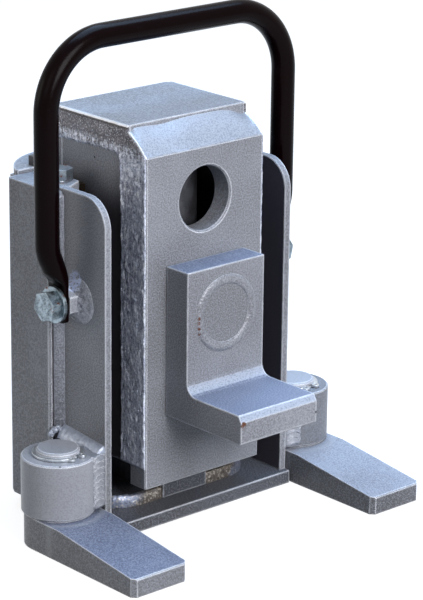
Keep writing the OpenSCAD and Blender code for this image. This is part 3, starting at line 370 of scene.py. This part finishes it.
def enamel(name, color, other, rough, coat, specular=0.4, scuff=None):
    """Thick glossy enamel with a slight orange peel and a few dull scuffs, one of them pale at a (point, radius)."""
    g = Graph(name)
    mixed = g.mix(g.span(g.noise(22.0, 3.0, 0.6), 0.35, 0.7), color, other)
    roughness = g.span(g.noise(48.0, 4.0, 0.7), 0.50, 0.74, rough, rough + 0.16)
    if scuff:
        ragged = g.times(g.near(*scuff), g.span(g.noise(420.0, 3.0, 0.6), 0.36, 0.58))
        mixed = g.mix(g.span(ragged, 0.16, 0.40), mixed, rgb(120, 124, 130))
    return g.finish(mixed, roughness, g.bump(g.noise(230.0, 2.0, 0.5), 0.05), Coat_Weight=coat, Coat_Roughness=0.06,
                    Specular_IOR_Level=specular)


# The material of each slot
MATERIALS = {
    "grey_paint": paint("paint_silver_grey"),
    "bronze_weld": bronze_bead(),
    "bronze": metal("bronze_greased", rgb(44, 37, 30), rgb(68, 57, 42), 0.42, 1.0, brushed=(1, 1, 9)),
    "zinc": metal("zinc_plating", rgb(70, 79, 85), rgb(146, 159, 166), 0.34, 0.8, rust=0.04, wide_mm=5.0),
    "dark_steel": metal("steel_dark", rgb(62, 62, 66), rgb(92, 93, 98), 0.44, 1.0, brushed=(1, 1, 8), metallic=0.8),
    "bright_steel": metal("steel_ground", rgb(150, 152, 156), rgb(186, 188, 192), 0.28, 0.7),
    "chrome_rod": metal("chrome_hard", rgb(140, 143, 148), rgb(160, 163, 168), 0.16, 0.5, brushed=(1, 1, 12),
                        metallic=1.0),
    "rubber_black": soft("rubber_seal", rgb(26, 26, 27), rgb(38, 38, 40), 0.62),
    "plastic_dark": soft("plastic_breather", rgb(30, 30, 33), rgb(48, 48, 52), 0.50),
    "black_paint": enamel("enamel_black_socket", rgb(24, 24, 26), rgb(34, 34, 36), 0.34, 0.2),
    "handle_black": enamel("enamel_black_handle", rgb(8, 0, 1), rgb(10, 1, 2), 0.22, 0.0, 0.05,
                           scuff=((-104.5, -22.5, 175.5), 3.2)),
}

# The pieces whose look differs from that of their slot
# Painted light: blue-grey colours for faces that look up, as if lit by a cool lamp from above
LIT_TOP_BLUES = (rgb(106, 113, 134), rgb(130, 138, 160))
TURNED_PAINT = paint("paint_silver_turned", 0.40, rgb(156, 158, 164), rgb(176, 180, 189), 0.45, edge_mm=1.2)
# Painted shade: the base plate, foot plate and locating block are painted dark for the shade low under the jack
BASE_SHADED_PAINT = paint("paint_silver_base_shaded", 0.44, rgb(50, 49, 53), rgb(72, 74, 81))
RING_ZINC = metal("zinc_ring", rgb(168, 173, 178), rgb(204, 209, 213), 0.30, 0.7)
NODE_MATERIALS = {
    "front_plate": paint("paint_silver_front", edge_mm=1.2),
    # Painted light: the claw's faces that look up are blue-grey and its slanted faces paler
    "lifting_claw": paint("paint_silver_claw", dark=rgb(127, 128, 133), light=rgb(153, 156, 164),
                          tops=LIT_TOP_BLUES + (rgb(166, 175, 190),)),
    "left_foot": paint("paint_silver_feet", tops=LIT_TOP_BLUES, edge_mm=1.4, arcs=True),
    # Painted shade: the right foot is a darker copy of the feet's paint, and its faces that look up are paler as
    # painted light
    "right_foot": paint("paint_silver_right_foot_shaded", dark=rgb(82, 81, 84), light=rgb(108, 109, 114),
                        tops=(rgb(130, 134, 145), rgb(158, 162, 173)), edge_mm=1.4, arcs=True),
    "left_barrel": TURNED_PAINT,
    "left_pivot_pin": TURNED_PAINT,
    "right_pivot_pin": TURNED_PAINT,
    # Painted shade: the right barrel is a darker copy of the turned paint
    "right_barrel": paint("paint_silver_right_barrel_shaded", 0.42, rgb(104, 105, 110), rgb(126, 129, 136), 0.6, edge_mm=1.2),
    "base_plate": BASE_SHADED_PAINT,
    "foot_plate": BASE_SHADED_PAINT,
    "locating_block": BASE_SHADED_PAINT,
    "left_retaining_ring": RING_ZINC,
    "right_retaining_ring": RING_ZINC,
    "column_plug": metal("zinc_rusty", rgb(122, 130, 136), rgb(176, 186, 194), 0.32, 0.8, rust=0.45),
}
# Painted shade: the casing walls low down behind the side plates, the side plates' inner faces and a strip of each
# column's front beside its bead are darkened
for side in ("left", "right"):
    NODE_MATERIALS["casing_" + side + "_wall"] = paint("paint_silver_" + side + "_wall", shade_heights=(205.0, 246.0))
    NODE_MATERIALS[side + "_side_plate"] = paint("paint_silver_" + side + "_plate", shade_band=(0.0, 75.3))
    NODE_MATERIALS[side + "_column"] = paint("paint_silver_" + side + "_column", shade_band=(84.8, 87.9))

# The welds
WELD_PAINT = paint("paint_weld_bead", 0.32, rgb(152, 160, 175), rgb(192, 201, 217), 0.6, 0.25, 0.4, 0.25)
GROOVE_PAINT = paint("paint_weld_groove", 0.36, rgb(136, 139, 147), rgb(160, 164, 174), 0.6, 0.2, 0.8, 0.15)
SEAM_PAINT = paint("paint_weld_seam", 0.34, rgb(112, 113, 119), rgb(138, 141, 150), 1.0, 0.4, 0.4, 0.25)
RING_PAINT = paint("paint_weld_ring", 0.38, rgb(130, 131, 136), rgb(157, 160, 168), 1.0, 0.3, 0.35, 0.15)
LAYER_PAINT = weld_layer()
SLOPE_PAINT = paint("paint_ground_weld", 0.34, rgb(140, 144, 151), rgb(162, 167, 177), 0.8, 0.0, 1.0, 0.20,
                    ends=49.6)

for entry in frame["record"]["subparts"]:
    part = frame["nodes"][entry["node"]]
    material = NODE_MATERIALS.get(entry["node"], MATERIALS[entry["material_slot"]])
    if not part.material_slots:
        part.data.materials.append(material)
    for part_slot in part.material_slots:
        part_slot.material = material


class Shell:
    """Collects the vertices and faces of one piece, in mm."""

    def __init__(self):
        self.points = []
        self.faces = []

    def tube(self, rows, ring=False):
        """Joins sections, each a closed loop of points, into a closed skin: with capped ends, or round in a ring."""
        start, count = len(self.points), len(rows[0])
        for row in rows:
            self.points.extend(row)
        for i in range(len(rows) if ring else len(rows) - 1):
            a, b = start + i * count, start + (i + 1) % len(rows) * count
            for j in range(count):
                k = (j + 1) % count
                self.faces.append((a + j, a + k, b + k, b + j))
        if not ring:
            self.faces.append(tuple(start + j for j in reversed(range(count))))
            self.faces.append(tuple(start + (len(rows) - 1) * count + j for j in range(count)))

    def build(self, name, material, body, replaced, slot, crease=38):
        """Makes the piece, with sharp edges where its faces turn by more than a crease in degrees."""
        mesh = bpy.data.meshes.new(name)
        mesh.from_pydata([Vector(p) * MM for p in self.points], [], self.faces)
        mesh.validate()
        mesh.update()
        outward(mesh)
        mesh.shade_smooth()
        mesh.set_sharp_from_angle(angle=math.radians(crease))
        mesh.materials.append(material)
        piece = bpy.data.objects.new(name, mesh)
        bpy.context.scene.collection.objects.link(piece)
        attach(piece, body)
        if replaced:
            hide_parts(*replaced)


def outward(mesh):
    """Turns every face so that its normal points out of its closed skin."""
    skin = bmesh.new()
    skin.from_mesh(mesh)
    bmesh.ops.recalc_face_normals(skin, faces=skin.faces)
    skin.to_mesh(mesh)
    skin.free()


def rough(point, size, seed=0.0):
    """Smooth random value in about -1..1 at a point in mm, with features of a size in mm."""
    return noise.noise(Vector(point) / size + Vector((seed, 2.7 * seed, -1.3 * seed)))


def ridged(x, y, seed):
    """Sharp random crests, 0 to 1, over a plane whose coordinates are already scaled to the size of a crest."""
    return (1 - min(1.0, 2.6 * abs(noise.noise(Vector((x, y, seed)))))) ** 1.5


def arch(t):
    """0 where t is 0 or 1, and 1 halfway."""
    return 4 * t * (1 - t)


def zigzag(phase):
    """0 at each whole number and 1 halfway between."""
    return 1 - abs(2 * (phase % 1.0) - 1)


def bead(shell, start, end, side_a, side_b, leg_a, leg_b, pitch=2.4, ripple=0.35, bulge=0.32, taper=4.0, seed=0.0,
         lump=0.3):
    """Fillet bead from start to end, with legs along side_a and side_b from the corner. leg_a and leg_b are a length
    in mm or a function of the place along the bead, 0 to 1. Its face bulges by a share of the smaller leg, with
    ripples of a pitch and a height in mm and lumps of a height in mm. Each end thins out over the taper in mm."""
    step, across, stub = 0.6, 8, 0.6
    start, end, side_a, side_b = (Vector(v) for v in (start, end, side_a, side_b))
    length = (end - start).length
    out = (side_a + side_b).normalized()
    rows = []
    for i in range(int(length / step) + 1):
        along = min(i * step, length)
        place = along / length
        fade = min(1.0, (along + stub) / taper, (length - along + stub) / taper) ** 0.5
        a = (leg_a(place) if callable(leg_a) else leg_a) * fade
        b = (leg_b(place) if callable(leg_b) else leg_b) * fade
        corner = start.lerp(end, place)
        row = [corner]
        for j in range(across + 1):
            t = j / across
            flat = corner + side_a * (a * (1 - t)) + side_b * (b * t)
            crown = arch(t)
            phase = (along + 1.1 * crown + 0.5 * rough(flat, 5.0, seed)) / pitch
            swell = (bulge * min(a, b) + lump * rough(flat, 3.1, seed + 5)) * crown * fade
            row.append(flat + out * (swell + ripple * (zigzag(phase) - 0.5) * crown ** 0.5 * fade))
        rows.append(row)
    shell.tube(rows)


def relief(shell, span_a, span_b, step, height, place):
    """Raised layer over a grid of two lengths in mm. height gives the rise in mm, or None where there is no layer,
    and place turns (a, b, rise) into a point. The layer's back lies a little behind its face."""
    back = -0.6
    rows = round((span_a[1] - span_a[0]) / step)
    columns = round((span_b[1] - span_b[0]) / step)
    values = {}
    for i in range(rows + 1):
        for j in range(columns + 1):
            a = span_a[0] + (span_a[1] - span_a[0]) * i / rows
            b = span_b[0] + (span_b[1] - span_b[0]) * j / columns
            rise = height(a, b)
            if rise is not None:
                values[i, j] = (a, b, rise)
    known = {}

    def point(key, front):
        if (key, front) not in known:
            a, b, rise = values[key]
            known[key, front] = len(shell.points)
            shell.points.append(place(a, b, rise if front else back))
        return known[key, front]

    sides = set()
    for i in range(rows):
        for j in range(columns):
            corners = ((i, j), (i + 1, j), (i + 1, j + 1), (i, j + 1))
            if any(key not in values for key in corners):
                continue
            shell.faces.append(tuple(point(key, True) for key in corners))
            shell.faces.append(tuple(point(key, False) for key in reversed(corners)))
            for k in range(4):
                pair = (corners[k], corners[(k + 1) % 4])
                if pair[::-1] in sides:
                    sides.remove(pair[::-1])
                else:
                    sides.add(pair)
    for first, second in sorted(sides):
        shell.faces.append((point(second, True), point(first, True), point(first, False), point(second, False)))


def span_mm(node):
    """The lowest and the highest corner of the box round one of the CAD's own pieces, in mm."""
    low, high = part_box(node)
    return [v / MM for v in low], [v / MM for v in high]


side_low, side_high = span_mm("right_side_plate")
column_low, column_high = span_mm("right_column")
barrel_low, barrel_high = span_mm("right_barrel")
front_low, front_high = span_mm("front_plate")
head_low, head_high = span_mm("head_block")
ring_low, ring_high = span_mm("peg_weld")
foot_low, foot_high = span_mm("foot_plate")
rear_high = span_mm("casing_rear_wall")[1]
weld_high = span_mm("head_weld")[1]
block_high = span_mm("locating_block")[1]
bead_high = span_mm("base_welds")[1]
strip_low = span_mm("casing_welds")[0]

# Drops of weld metal on the right side plate, in mm
SPATTER_AT = ((89.2, -2.6, 62.9), (87.0, -3.4, 65.2), (84.6, -4.4, 66.4), (82.2, -4.6, 64.8))
SPATTER_RADIUS = 2.1


def frame_beads():
    """The frame's fillet beads: beside the columns, on the barrels' tops, in the grooves and round the nuts."""
    shell, seams, grooves = Shell(), Shell(), Shell()
    outer_leg, inner_leg = 5.2, 4.2
    y, top = column_low[1], column_high[2] - 0.8
    deck = barrel_high[2]
    for side in (-1, 1):
        outer, inner = side * side_high[0], side * side_low[0]
        bead(seams, (outer, y, deck + 1), (outer, y, top), (side, 0, 0), (0, -1, 0), outer_leg, outer_leg,
             seed=11 + side, ripple=0.16, bulge=0.14, lump=0.4, pitch=3.1)
        bead(seams, (inner, y, foot_high[2] + 0.5), (inner, y, top), (-side, 0, 0), (0, -1, 0), inner_leg, inner_leg,
             seed=15 + side)
        bead(shell, (outer, side_low[1] + 0.3, deck), (outer, y - 3.5, deck), (side, 0, 0), (0, 0, 1),
             lambda t: 6.0 + 0.6 * t, lambda t: 4.2 + 4.0 * t, seed=19 + side, ripple=0.14, bulge=0.20, taper=1.6,
             lump=0.45, pitch=3.4)
        groove(grooves, side, -1)
        groove(grooves, side, 1)
        nut_bead(seams, side)
        for at in SPATTER_AT:
            spatter(shell, (side * at[0], at[1], at[2]), SPATTER_RADIUS, 7.0 * at[0] + side)
    shell.build("frame_weld_beads", WELD_PAINT, "frame", ["frame_welds"], "grey_paint")
    seams.build("frame_weld_seams", SEAM_PAINT, "frame", None, "grey_paint")
    grooves.build("frame_weld_grooves", GROOVE_PAINT, "frame", None, "grey_paint")


def spatter(shell, at, radius, seed):
    """Drop of weld metal at a point, of a rough round form."""
    steps, around = 10, 14
    rows = []
    for i in range(1, steps):
        a = math.pi * i / steps
        row = []
        for j in range(around):
            b = 2 * math.pi * j / around
            out = Vector((math.sin(a) * math.cos(b), math.sin(a) * math.sin(b), math.cos(a)))
            row.append(Vector(at) + out * radius * (1 + 0.45 * rough(out * 3, 2.0, seed)))
        rows.append(row)
    shell.tube(rows)


def nut_bead(shell, side):
    """Flat uneven weld round the foot of a handle nut, twice as wide in front of it."""
    low, high = span_mm("handle_bolts")
    face = side * side_high[0]
    centre = Vector((face, (low[1] + high[1]) / 2, (low[2] + high[2]) / 2))
    inner, outer, widening = 8.4, 12.4, 7.6
    back, thinnest = 0.5, 0.04
    steps, across = 200, 14
    rows = []
    for i in range(steps):
        angle = 2 * math.pi * i / steps
        out = Vector((0, -math.cos(angle), math.sin(angle)))
        reach = outer + widening * max(0.0, math.cos(angle - 0.1)) ** 0.7 + 0.9 * rough(out * 12, 6.0, 81 + side)
        row = []
        for j in range(across + 1):
            t = j / across
            flat = centre + out * (inner + (reach - inner) * t)
            lift = 3.2 * (1 - t) ** 2.2 + 1.5 * (1 - t ** 4)
            lift += (0.7 * rough(flat, 3.2, 83 + side) + 0.5 * rough(flat, 1.4, 87)) * (1 - t) ** 0.5
            lift += 1.1 * ridged(flat.y / 2.2, flat.z / 2.2, 89) * (1 - t) ** 0.7 * max(0.0, out.z)
            row.append(flat + Vector((side * max(thinnest, lift), 0, 0)))
        rows.append(row + [Vector((face - side * back, p.y, p.z)) for p in (row[-1], row[0])])
    shell.tube(rows, ring=True)


def groove(shell, side, facing):
    """Coarse stacked bead in the groove between a barrel and its side plate. facing is -1 at the front, where the
    bead is as wide as the plate's edge stands out."""
    step, across, pitch, heap, depth = 0.6, 14, 4.4, 1.5, 4.0
    radius = (barrel_high[0] - barrel_low[0]) / 2
    middle = barrel_low[1] + radius
    reach = (0.87 if facing < 0 else 0.66) * radius
    skin = radius - math.sqrt(radius ** 2 - reach ** 2)
    plate = side * side_high[0]
    flush = middle - side_low[1] - 0.2 if facing < 0 else reach + 2.2
    z0, z1 = barrel_low[2] + 1.5, barrel_high[2] + 0.4
    rows = []
    steps = int((z1 - z0) / step)
    for i in range(steps + 1):
        z = z0 + (z1 - z0) * i / steps
        fade = min(1.0, (z - z0 + 0.8) / 3, (z1 - z + 0.8) / 1.5)
        row = [Vector((plate, middle + facing * depth, z))]
        for j in range(across + 1):
            t = j / across
            crown = arch(t) ** 0.7
            x = plate + side * (skin + 0.6) * t
            y = flush + (reach - 0.4 - flush) * t + 1.1 * crown - 1.2 * (1 - fade)
            bow = 4.2 * (t - 0.45) ** 2 / 0.3
            phase = (z + bow + 0.9 * rough((x, y, z), 7.0, 31 + side)) / pitch
            y += heap * arch(t) ** 0.5 * (1 - phase % 1.0) ** 1.5 * fade + 0.22 * rough((x, y, z), 1.6, 37) * crown
            row.append(Vector((x, middle + facing * y, z)))
        row.append(Vector((plate + side * skin, middle + facing * depth, z)))
        rows.append(row)
    shell.tube(rows)


def foot_bead():
    """The fat bead along the foot plate's front edge, from the locating block round both corners."""
    shell = Shell()
    radius, turn = 26.0, math.radians(64)
    width, pitch, step, across = 2.7, 2.6, 0.7, 10
    first_angle, all_angles = -8, 128
    front, z0 = foot_low[1], foot_low[2]
    height = bead_high[2] - z0
    start, corner = block_high[0] + 0.2, foot_high[0] - radius
    straight = corner - start
    total = straight + turn * radius
    steps = int(total / step)
    for side in (-1, 1):
        rows = []
        for i in range(steps + 1):
            s = total * i / steps
            if s <= straight:
                at, out = Vector((side * (start + s), front, 0)), Vector((0, -1, 0))
            else:
                angle = (s - straight) / radius
                out = Vector((side * math.sin(angle), -math.cos(angle), 0))
                at = Vector((side * corner, front + radius, 0)) + out * radius
            fade = min(1.0, (s + 1.2) / 3, (total - s + 1.2) / 5) ** 0.5
            row = [at - out * 2.4 + Vector((0, 0, z0 + 6.6)), at + Vector((0, 0, z0 + 0.1))]
            for j in range(across + 1):
                a = math.radians(first_angle + all_angles * j / across)
                flat = at + out * (width * math.cos(a) * fade)
                flat += Vector((0, 0, z0 + 1.2 + height * 0.86 * math.sin(a)))
                phase = (s + 1.6 * math.sin(a) + 0.8 * rough(flat, 6.0, 41 + side)) / pitch
                push = 0.22 * (zigzag(phase) - 0.4) + 0.35 * rough(flat, 3.4, 43 + side)
                row.append(flat + (out * math.cos(a) + Vector((0, 0, math.sin(a)))) * push * fade * 0.8)
            rows.append([Vector((p.x, p.y, max(p.z, z0 + 0.02))) for p in row])
        shell.tube(rows)
    shell.build("foot_plate_bead", MATERIALS["bronze_weld"], "frame", ["base_welds"], "bronze_weld")


def slope_rise(x, t):
    """Height of the ground slope above the front plate, at x and at a place from its front 0 to its back 1. It dips
    at its left end, a little beside that, and at its right end."""
    half = front_high[0]
    from_left, from_right = x + half, half - x
    rise = weld_high[2] - front_high[2]
    shape = t ** 1.1 + 0.05 * math.sin(math.pi * t)
    dip = 3.0 * math.exp(-(from_left / 3.2) ** 2) + 1.2 * math.exp(-((from_left - 26) / 12) ** 2)
    dip += 6.1 * math.exp(-(from_right / 12.2) ** 2)
    return (rise + 1.6 - dip * t) * shape


def casing_beads():
    """Rough layers of weld on the casing's sides: down its front corners and along the foot of the head block."""
    shell = Shell()
    step = 0.6
    front, rear = front_low[1] + 0.7, rear_high[1] - 1.0
    bottom, top = strip_low[2], head_high[2] - 0.1
    strip_rear, band_foot, band_slope = -27.2, 250.6, 0.041

    def layer(side, y, z):
        """Rise of the layer in mm, or None where the casing is bare."""
        ceiling = top
        t = (y - front_low[1]) / (head_low[1] - front_low[1])
        if t < 1:
            ceiling = min(ceiling, front_high[2] + slope_rise(side * front_high[0], t) - 0.1)
        rim = min(y - front, ceiling - z, rear - y, z - bottom)
        if rim < 0:
            return None
        strip = strip_rear + 0.9 * rough((y, 0, z / 2), 6.0, 51 + side) - y
        band = z - band_foot + band_slope * y + 0.9 * rough((y, z, 0), 4.0, 53 + side)
        inside = (strip + band + math.sqrt((strip - band) ** 2 + 36.0)) / 2
        if inside < -0.8:
            return None
        cover = min(1.0, max(0.0, inside) / 1.6) ** 0.6 * min(1.0, 0.16 + rim / 1.6)
        cover = max(cover, min(1.0, 0.5 + (y - front)) if y - front < 1.2 and rim >= y - front else 0.0)
        upright = min(1.0, max(0.0, (250 - z) / 8))
        tall = 0.42 * ridged(y / 1.9, z / 5.4, 3.1 + side) + 0.30 * ridged((y + 0.25 * z) / 1.1, z / 2.6, 7.7 + side)
        wide = 0.42 * ridged(y / 2.4, z / 1.5, 5.3 + side) + 0.30 * ridged(y / 1.3, z / 1.0, 9.1 + side)
        bumps = tall * upright + wide * (1 - upright) + 0.5 * rough((y, z, 0), 6.5, 57 + side)
        lip = 0.9 * math.exp(-((inside - 1.7) / 0.9) ** 2) * (0.35 + 0.65 * min(1.0, max(0.0, (z - 205) / 30)))
        return cover * (0.55 + bumps + lip * upright) - (0.35 if inside < 0 else 0.0)

    for side in (-1, 1):
        face = side * front_high[0]
        relief(shell, (front, rear), (bottom, top), step, lambda y, z, s=side: layer(s, y, z),
               lambda y, z, rise, s=side, f=face: Vector((f + s * rise, y, z)))
    shell.build("casing_weld_layers", LAYER_PAINT, "casing", ["casing_welds"], "grey_paint", crease=60)


def head_slope():
    """The ground weld that slopes from the front plate to the head block, with a ridge along each end."""
    shell = Shell()
    steps, across = 150, 18
    half = front_high[0] + 0.3
    y0, y1 = front_low[1] + 0.1, head_low[1] + 0.2
    z0 = front_high[2]
    bottom, ceiling = z0 - 0.4, head_high[2] - 0.6
    rows = []
    for i in range(steps + 1):
        x = -half + 2 * half * i / steps
        edge = min(x + half, half - x)
        row = [Vector((x, y1, bottom)), Vector((x, y0, bottom))]
        ragged = 0.55 + 0.6 * rough((x, 0, 0), 2.0, 65)
        for j in range(across + 1):
            t = j / across
            y = y0 + (y1 - y0) * t
            z = z0 + slope_rise(x, t) + 0.22 * rough((x, y, 0), 16.0, 61) * min(1.0, 4 * t)
            ridge = math.exp(-(edge / 1.5) ** 2) * (ragged + 0.5 * rough((y, 0, x), 1.6, 67)) * min(1.0, 3 * t)
            row.append(Vector((x, y, min(z + ridge, ceiling))))
        rows.append(row)
    shell.tube(rows)
    shell.build("head_slope_weld", SLOPE_PAINT, "casing", ["head_weld"], "grey_paint", crease=50)


def ring_bead():
    """The weld ring round the end of the claw's peg."""
    shell = Shell()
    steps, across, width, pitch = 300, 9, 6.6, 2.6
    outer = (ring_high[0] - ring_low[0]) / 2
    inner = outer - width
    centre = Vector((0, ring_high[1], (ring_high[2] + ring_low[2]) / 2))
    forward = Vector((0, -1, 0))
    rows = []
    for i in range(steps):
        angle = 2 * math.pi * i / steps
        out = Vector((math.cos(angle), 0, math.sin(angle)))
        row = []
        for j in range(across + 1):
            t = j / across
            crown = arch(t) ** 0.7
            flat = out * (inner + (outer - inner) * t) + centre
            wave = zigzag(angle * outer / pitch + 0.7 * crown)
            rise = crown * (1.15 + 0.35 * wave + 0.35 * rough(flat, 3.0, 71)) + 0.02
            row.append(flat + forward * rise)
        rows.append(row)
    shell.tube(rows, ring=True)
    shell.build("claw_ring_bead", RING_PAINT, "claw", ["peg_weld"], "grey_paint", crease=50)


def handle():
    """The bent bar of the carrying handle, hammered flat at both ends, as one skin. Its right half is a row of
    sections (x, z, tilt, half size across, half size along y, power), where power 2 is an ellipse and a larger one a
    rounded oblong."""
    shell = Shell()
    low, high = span_mm("carry_handle")
    y = (low[1] + high[1]) / 2
    bar, oval = 8.0, 2.0
    tab, half_tab, thin, oblong, corner = 92.3, 8.5, 2.0, 9.0, 2.5
    leg, top = high[0] - bar, high[2] - bar
    pivot = low[2] + 11.7
    tab_top = pivot + 12
    bend, jog, jog_angle = 45.0, 26.0, math.radians(30)
    jog_top = pivot + 41.0
    sections = []
    for i in range(6):
        a = math.radians(90 - 18 * i)
        sections.append((tab, low[2] + corner * (1 - math.sin(a)), 0.0, thin, half_tab - corner * (1 - math.cos(a)),
                         oblong))
    for z in (-4.0, 0.0, 4.0, 8.0, 12.0):
        sections.append((tab, pivot + z, 0.0, thin, half_tab, oblong))
    bar_x, bar_z = leg - jog * (1 - math.cos(jog_angle)), jog_top - jog * math.sin(jog_angle)
    for i in range(1, 12):
        t = i / 12
        s = t * t * (3 - 2 * t)
        x = tab + (bar_x - tab) * (0.35 * t * t + 0.65 * s)
        sections.append((x, tab_top + (bar_z - tab_top) * t, jog_angle * s, thin + (bar - thin) * s ** 0.8,
                         half_tab + (bar - half_tab) * s, oblong + (oval - oblong) * s ** 0.4))
    for i in range(7):
        a = jog_angle * (1 - i / 6)
        sections.append((leg - jog * (1 - math.cos(a)), jog_top - jog * math.sin(a), a, bar, bar, oval))
    for i in range(1, 12):
        sections.append((leg, jog_top + (top - bend - jog_top) * i / 12, 0.0, bar, bar, oval))
    for i in range(25):
        a = math.radians(90 * i / 24)
        sections.append((leg - bend * (1 - math.cos(a)), top - bend + bend * math.sin(a), -a, bar, bar, oval))
    for i in range(1, 9):
        sections.append(((leg - bend) * (1 - i / 8), top, -math.pi / 2, bar, bar, oval))
    around = 40
    rows = []
    for x, z, tilt, half_x, half_y, power in sections:
        across = Vector((math.cos(tilt), 0, -math.sin(tilt)))
        row = []
        for j in range(around):
            a = 2 * math.pi * j / around
            c, s = math.cos(a), math.sin(a)
            u = math.copysign(abs(c) ** (2 / power), c) * half_x
            v = math.copysign(abs(s) ** (2 / power), s) * half_y
            row.append(Vector((x, y, z)) + across * u + Vector((0, v, 0)))
        rows.append(row)
    mirrored = [[Vector((-p.x, p.y, p.z)) for p in row] for row in rows[-2::-1]]
    shell.tube(rows + mirrored)
    shell.build("handle_bar", MATERIALS["handle_black"], "handle", ["carry_handle"], "handle_black", crease=50)


frame_beads()
foot_bead()
casing_beads()
head_slope()
ring_bead()
handle()

# Floor, world and lamps, in metres. Each lamp is (name, place, the point it is turned to, size, power, colour).
FLOOR_HALF = 9.0
FLOOR_Z = -0.0004
WHITE = (1.0, 1.0, 1.0, 1.0)
LAMPS = (
    ("lamp_top", (0.45, 0.15, 1.70), (0, 0, 0.15), 1.2, 39.0, (0.45, 0.68, 1.0)),
    ("lamp_front", (-0.12, -1.50, 0.90), (0, 0, 0.18), 0.9, 28.0, (0.98, 0.97, 1.0)),
    ("lamp_side", (-1.2, -0.55, 0.9), (0, 0, 0.15), 0.7, 1.4, (0.94, 0.96, 1.0)),
    ("lamp_left", (-1.30, 0.95, 0.60), (0, 0, 0.15), 0.8, 4.4, (1.0, 0.93, 0.88)),
)


def make_floor():
    """A floor that is white to the camera and keeps the object's shadow, and that throws little light back up."""
    mesh = bpy.data.meshes.new("floor")
    corners = ((-1, -1), (1, -1), (1, 1), (-1, 1))
    mesh.from_pydata([(x * FLOOR_HALF, y * FLOOR_HALF, FLOOR_Z) for x, y in corners], [], [(0, 1, 2, 3)])
    mesh.update()
    floor = bpy.data.objects.new("floor", mesh)
    bpy.context.scene.collection.objects.link(floor)
    g = Graph("floor_pale")
    matt = g.add("BsdfDiffuse", Color=(0.12, 0.115, 0.11, 1.0)).outputs[0]
    grey = g.add("BsdfDiffuse", Color=(0.36, 0.36, 0.36, 1.0)).outputs[0]
    glow = g.add("Emission", Color=WHITE, Strength=0.88).outputs[0]
    pale = g.add("AddShader", i0=grey, i1=glow).outputs[0]
    g.add("OutputMaterial", Surface=g.add("MixShader", i0=g.shown(), i1=matt, i2=pale).outputs[0])
    mesh.materials.append(g.owner)


def make_world():
    """White behind the object, and a weak cool light from all round on it."""
    g = Graph("studio", bpy.data.worlds)
    cool = g.add("Background", Color=(0.86, 0.91, 1.0, 1.0), Strength=0.06).outputs[0]
    white = g.add("Background", Color=WHITE, Strength=1.0).outputs[0]
    g.add("OutputWorld", Surface=g.add("MixShader", i0=g.shown(), i1=cool, i2=white).outputs[0])
    bpy.context.scene.world = g.owner


def make_lamp(name, at, aim, size, power, color):
    """Soft square lamp."""
    data = bpy.data.lights.new(name, "AREA")
    data.shape = "SQUARE"
    data.size = size
    data.energy = power
    data.color = color
    light = bpy.data.objects.new(name, data)
    bpy.context.scene.collection.objects.link(light)
    light.location = at
    light.rotation_euler = (Vector(at) - Vector(aim)).to_track_quat("Z", "Y").to_euler()


make_floor()
make_world()
for lamp in LAMPS:
    make_lamp(*lamp)

bpy.context.scene.view_settings.view_transform = "Standard"
